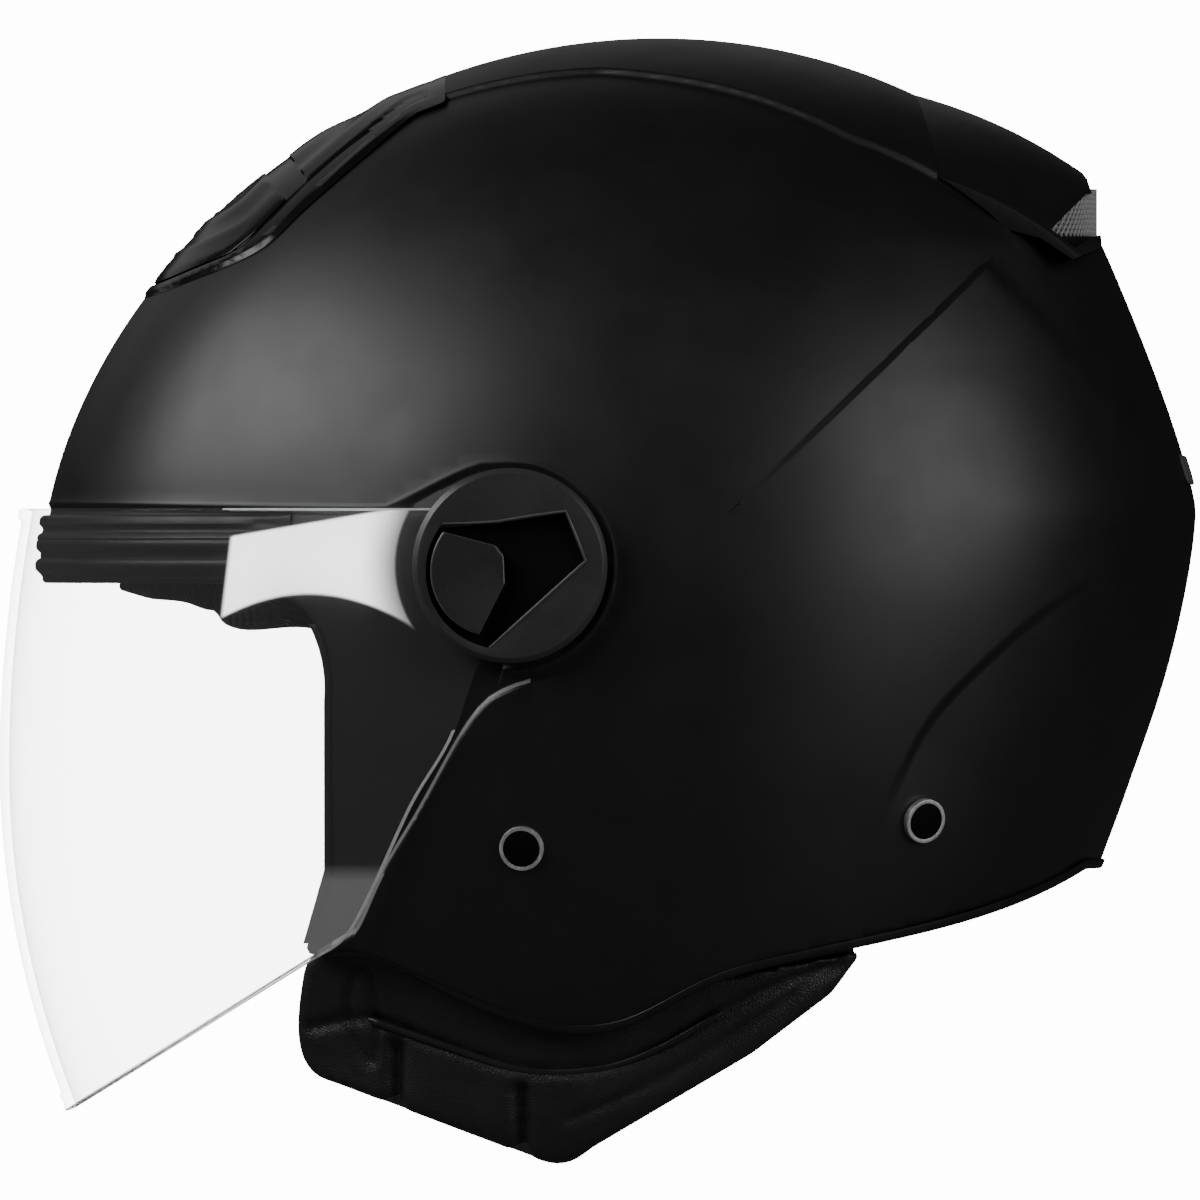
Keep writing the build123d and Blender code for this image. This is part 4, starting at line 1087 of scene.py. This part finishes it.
PAD_RIDGE = [(-74.0, -110.0), (-60.0, -108.0), (-43.2, -113.8), (-23.3, -120.0), (-5.8, -119.8),
             (7.9, -115.4), (24.0, -106.5), (40.0, -99.0), (52.0, -95.0)]
PAD_SLOTS = [((-53.6, -114.5), (-53.8, -131.0)), ((-23.8, -125.0), (-23.4, -143.0))]
PAD_FACET = [(-62.4, -94.6), (-64.8, -109.0), (-58.8, -118.6), (-58.6, -101.8)]
PAD_STRIP = [(-12.0, -132.0), (10.0, -122.0), (31.4, -109.0), (50.4, -96.0)]


def pad_relief(points, normals):
    """Seams, facet, slots and strip of a cheek pad's outer face, and channels in its inner one."""
    outer = smoothstep((np.abs(points[:, 1]) - 60) / 20)
    move = seam_dent(points, smooth_line(PAD_RIDGE), 1.3, 1.4) * outer
    for slot_line in PAD_SLOTS:
        move += seam_dent(points, slot_line, 3.0, 1.6) * outer
    move += seam_dent(points, smooth_line(PAD_FACET, 6, True), 0.9, 0.9) * outer
    move += seam_dent(points, smooth_line(PAD_STRIP), 0.8, 1.0) * outer
    for low in (-60.0, -78.0):
        line = [(-60.0, low), (20.0, low + 4.0)]
        move += seam_dent(points, line, 1.6, 2.0) * (1 - outer)
    return points + normals * move[:, None]


def pad_line(line, side, stand_off):
    """Points over a cheek pad's outer face, for a line drawn from the side."""
    line = np.asarray(line)
    y = form_y(line[:, 0], line[:, 1], 4.4) + stand_off
    return np.stack([line[:, 0], side * y, line[:, 1]], -1)


SIDES = (("left", -1), ("right", 1))


def make_cheek_pads():
    """Padded cheek pads, each with a cord of piping along its ridge."""
    for name, side in SIDES:
        pad = soften(f"cheek_cushion_{name}", f"cheek_pad_{name}", 1.4, 5)
        points, normals = mesh_points(pad)
        move_points(pad, pad_relief(points, normals))
        place(pad, "helmet", "leatherette", MATERIALS["leatherette"], f"cheek_pad_{name}")
        ridge = smooth_line(PAD_RIDGE[1:-2], 12)
        piping = tube(f"pad_piping_{name}", pad_line(ridge, side, -0.9), 1.0)
        place(piping, "helmet", "leatherette", MATERIALS["piping"])


def quilt(points, normals):
    """Crowned panels of the comfort liner, sewn down along seams from front to back."""
    x, y, z = points.T
    turn = np.arctan2(y, np.abs(x - CENTRE_X) + 30)
    seams = dent(np.sin(turn * 5.5), 1.5, 0.10)
    rows = dent(np.sin((z + 12) / 58 * pi), 1.3, 0.06)
    return points + normals * np.minimum(seams, rows)[:, None]


def make_liner():
    """Padded comfort liner, neck roll and chin pad."""
    liner = soften("comfort_lining", "comfort_liner", 2.0, 6)
    points, normals = mesh_points(liner)
    move_points(liner, quilt(points, normals))
    place(liner, "helmet", "lining", MATERIALS["lining"], "comfort_liner")
    roll = soften("neck_cushion", "neck_roll", 1.8, 8)
    points, normals = mesh_points(roll)
    seams = dent(np.sin(points[:, 1] / 34 * pi), 1.2, 0.12)
    move_points(roll, points + normals * seams[:, None])
    place(roll, "helmet", "lining", MATERIALS["leatherette"], "neck_roll")
    chin = soften("chin_cushion", "chin_pad", 0.7, 6)
    place(chin, "helmet", "leatherette", MATERIALS["leatherette"], "chin_pad")


# ---- assembly ------------------------------------------------------------------------
place(make_brow_trim(), "helmet", "trim_rubber", MATERIALS["trim_rubber"], "brow_trim")
place(make_vent_housing(), "helmet", "vent_gloss", MATERIALS["vent_gloss"], "top_vent_housing")
place(make_vent_slider(), "vent_slider", "vent_gloss", MATERIALS["vent_gloss"], "vent_slider")
grille = place(make_grille(), "helmet", "vent_grey", MATERIALS["vent_grey"], "rear_vent_mesh")
grille.data.materials.append(MATERIALS["window_black"])
make_visor()
make_cheek_pads()
make_liner()

# new piece, CAD node, body, material slot, rounding of its edges in millimetres
ROUNDED = [
    ("hem_bead", "edge_trim", "helmet", "trim_rubber", 0.8),
    ("rear_badge_blank", "rear_plaque", "helmet", "plaque_grey", 0.5),
    ("exhaust_spoiler", "rear_vent_housing", "helmet", "shell_paint", 1.2),
    ("buckle_body", "buckle_frame", "helmet", "buckle_plastic", 0.5),
    ("buckle_flap", "buckle_lever", "buckle_lever", "buckle_plastic", 0.4),
    ("ratchet_strap_end", "ratchet_tongue", "helmet", "steel", 0.3),
    ("strap_rivet_rings", "strap_rivets", "helmet", "chrome", 0.35),
    ("rivet_centre_plugs", "rivet_plugs", "helmet", "tab_plastic", 0.25),
]
FINISHES = {"rivet_centre_plugs": "window_black"}    # where it isn't the slot's own
for name, side in SIDES:
    ROUNDED += [
        (f"port_bead_{name}", f"face_trim_{name}", "helmet", "trim_rubber", 0.6),
        (f"pivot_cap_{name}", f"pivot_cover_{name}", "helmet", "pivot_plastic", 0.6),
        (f"release_catch_{name}", f"release_tab_{name}", f"release_tab_{name}", "tab_plastic", 0.5),
        (f"chin_webbing_{name}", f"chin_strap_{name}", "helmet", "webbing", 0.5),
        (f"rear_webbing_{name}", f"rear_strap_{name}", "helmet", "webbing", 0.4),
    ]
for name, source, body, slot, width in ROUNDED:
    place(cad_copy(name, source, width), body, slot, MATERIALS[FINISHES.get(name, slot)], source)

# ---- pivot caps and release catches ------------------------------------------------
# window of a pivot cap seen from the side, and the line of the bead along its open sides
WINDOW = [(-42.6, 9.6), (-29.3, 10.1), (-13.2, 12.6), (-8.6, 1.2), (-31.5, -19.5), (-39.0, -13.6),
          (-43.8, -4.0)]
RIM = [(-42.2, 10.0), (-36.0, 10.1), (-29.3, 10.5), (-21.0, 11.9), (-12.9, 13.0), (-10.4, 7.0),
       (-8.1, 1.2), (-13.6, -3.7), (-19.8, -9.3), (-26.0, -14.9), (-31.0, -19.4)]
COVER_FACE = 127.0        # middle plane to a cap's face
RIM_RADIUS = 0.32


def darken_window(cap):
    """Give the recess of a pivot cap its blacker finish and its edges a painted highlight."""
    cap.data.materials.append(MATERIALS["window_black"])
    cap.data.materials.append(MATERIALS["edge_painted_highlight"])
    for face in cap.data.polygons:
        x, y, z = face.center / MM
        inside = inside_distance(np.array([x]), np.array([z]), np.array(WINDOW))[0]
        if inside > 0.3 and abs(y) < COVER_FACE - 0.5:
            face.material_index = 1
        elif abs(inside) < 1.2 and abs(y) > COVER_FACE - 0.7 and abs(face.normal.y) < 0.93:
            face.material_index = 2


def paint_edge_highlights(catch):
    """Give the rounded edges of a release catch a painted highlight."""
    catch.data.materials.append(MATERIALS["edge_painted_highlight"])
    for face in catch.data.polygons:
        if 0.15 < abs(face.normal.y) < 0.93 and abs(face.center.y) > COVER_FACE * MM:
            face.material_index = 1


def facet_catch(catch, side):
    """Sink the middle of a release catch into flat facets."""
    bm = bmesh.new()
    bm.from_mesh(catch.data)
    flat = [f for f in bm.faces if f.normal.y * side > 0.99]
    top = max(flat, key=lambda f: f.calc_area())
    bmesh.ops.inset_region(bm, faces=[top], thickness=1.6 * MM, depth=-0.15 * MM)
    inner = max((f for f in bm.faces if f.normal.y * side > 0.99), key=lambda f: f.calc_area())
    bmesh.ops.poke(bm, faces=[inner], offset=-1.1 * MM)
    bm.to_mesh(catch.data)
    bm.free()
    finish_shading(catch, 12)


def window_rim(name, side):
    """Raised bead along the open sides of a pivot cap's window, coloured with a painted highlight.
    """
    line = np.array([(x, side * COVER_FACE, z) for x, z in RIM])
    rim = tube(f"window_rim_{name}", line, RIM_RADIUS)
    place(rim, "helmet", "pivot_plastic", MATERIALS["edge_painted_highlight"])


for name, side in SIDES:
    darken_window(bpy.data.objects[f"pivot_cap_{name}"])
    window_rim(name, side)
    paint_edge_highlights(bpy.data.objects[f"release_catch_{name}"])
    facet_catch(bpy.data.objects[f"release_catch_{name}"], side)

# finishes of the CAD nodes that show as they are; the rest are steel
CAD_FINISHES = {"eps_liner": "foam", "pivot_hub_left": "pivot_plastic",
                "pivot_hub_right": "pivot_plastic"}
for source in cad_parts.values():
    if not source.hide_render:
        for socket in source.material_slots:
            socket.material = MATERIALS[CAD_FINISHES.get(source.name, "steel")]

# ---- light, floor and camera, in metres ---------------------------------------------
CAMERA_DISTANCE = 12.0
FRAME_WIDTH = 0.288
PICTURE_MIDDLE = (-4.8, -8.16)       # place on the helmet in the middle of the view, mm
FLOOR_LEVEL = -0.32
FLOOR_RADIUS = 3.5
FLOOR_COLOR, FLOOR_BOUNCE = (0.86, 0.86, 0.85), (0.12, 0.12, 0.12)   # seen, and to other rays
WORLD_SEEN, WORLD_BOUNCE = 14.0, 0.012


def shell_normal(x, level):
    """Place and outward direction of the shell's left side, at a place seen from the side."""
    y = form_y(x, level)
    along = (form_y(x + 1, level) - form_y(x - 1, level)) / 2
    up = (form_y(x, level + 1) - form_y(x, level - 1)) / 2
    return Vector((x, -y, level)) * MM, Vector((-along, -1, -up)).normalized()


def add_light(name, spot, toward, distance, size, power):
    """Rectangular soft light at a distance from a spot, facing it."""
    data = bpy.data.lights.new(name, "AREA")
    data.shape = "RECTANGLE"
    data.size, data.size_y = size
    data.energy = power
    light = bpy.data.objects.new(name, data)
    light.location = spot + toward.normalized() * distance
    light.rotation_euler = (-toward).to_track_quat("-Z", "Y").to_euler()
    bpy.context.scene.collection.objects.link(light)


def mirror_light(name, x, level, distance, size, power):
    """Light whose reflection the camera sees at a place on the shell."""
    spot, normal = shell_normal(x, level)
    view = Vector((0, -1, 0))
    toward = 2 * normal.dot(view) * normal - view
    add_light(name, spot, toward, distance, size, power)


def make_studio():
    """Two lights that the shell's side mirrors, a faint one above, and a white surround.

    The surround is bright to the camera and through the visor, and nearly dark to reflections."""
    mirror_light("key_light", -79.0, 39.0, 1.6, (2.1, 0.9), 30)
    mirror_light("rear_light", 76.0, 16.0, 1.6, (1.3, 1.1), 14)
    add_light("top_light", Vector((0, 0, 0)), Vector((-0.4, 1.5, 0.9)), 2.2, (2.0, 1.4), 2.0)
    world = bpy.data.worlds.new("studio")
    world.use_nodes = True
    tree = world.node_tree
    background = tree.nodes["Background"]
    background.inputs["Color"].default_value = (1, 1, 1, 1)
    path = tree.nodes.new("ShaderNodeLightPath")
    seen = tree.nodes.new("ShaderNodeMath")
    seen.operation = "MAXIMUM"
    tree.links.new(path.outputs["Is Camera Ray"], seen.inputs[0])
    tree.links.new(path.outputs["Is Transmission Ray"], seen.inputs[1])
    shade = tree.nodes.new("ShaderNodeMapRange")
    shade.inputs["To Min"].default_value = WORLD_BOUNCE
    shade.inputs["To Max"].default_value = WORLD_SEEN
    tree.links.new(seen.outputs[0], shade.inputs["Value"])
    tree.links.new(shade.outputs["Result"], background.inputs["Strength"])
    bpy.context.scene.world = world


def make_floor():
    """Round pale sheet below the helmet, darker to every ray but the camera's."""
    bm = bmesh.new()
    bmesh.ops.create_circle(bm, cap_ends=True, segments=96, radius=FLOOR_RADIUS)
    mesh = bpy.data.meshes.new("floor")
    bm.to_mesh(mesh)
    bm.free()
    floor = bpy.data.objects.new("floor", mesh)
    floor.location.z = FLOOR_LEVEL
    material = new_material("floor_paper", FLOOR_COLOR, 0.8)
    seen = node(material, "ShaderNodeLightPath").outputs["Is Camera Ray"]
    set_input(material, "Base Color", blend_colors(material, seen, FLOOR_BOUNCE, FLOOR_COLOR))
    set_bump(material, noise(material, 300.0), 0.1, 0.0002)
    mesh.materials.append(material)
    bpy.context.scene.collection.objects.link(floor)


def make_camera():
    """Camera on the wearer's left, level with the middle of the helmet."""
    data = bpy.data.cameras.new("camera")
    data.sensor_width = 36.0
    data.lens = 36.0 * CAMERA_DISTANCE / FRAME_WIDTH
    data.clip_end = 100.0
    camera = bpy.data.objects.new("camera", data)
    camera.location = (PICTURE_MIDDLE[0] * MM, -CAMERA_DISTANCE, PICTURE_MIDDLE[1] * MM)
    camera.rotation_euler = (pi / 2, 0, 0)
    bpy.context.scene.collection.objects.link(camera)
    bpy.context.scene.camera = camera


make_studio()
make_floor()
make_camera()
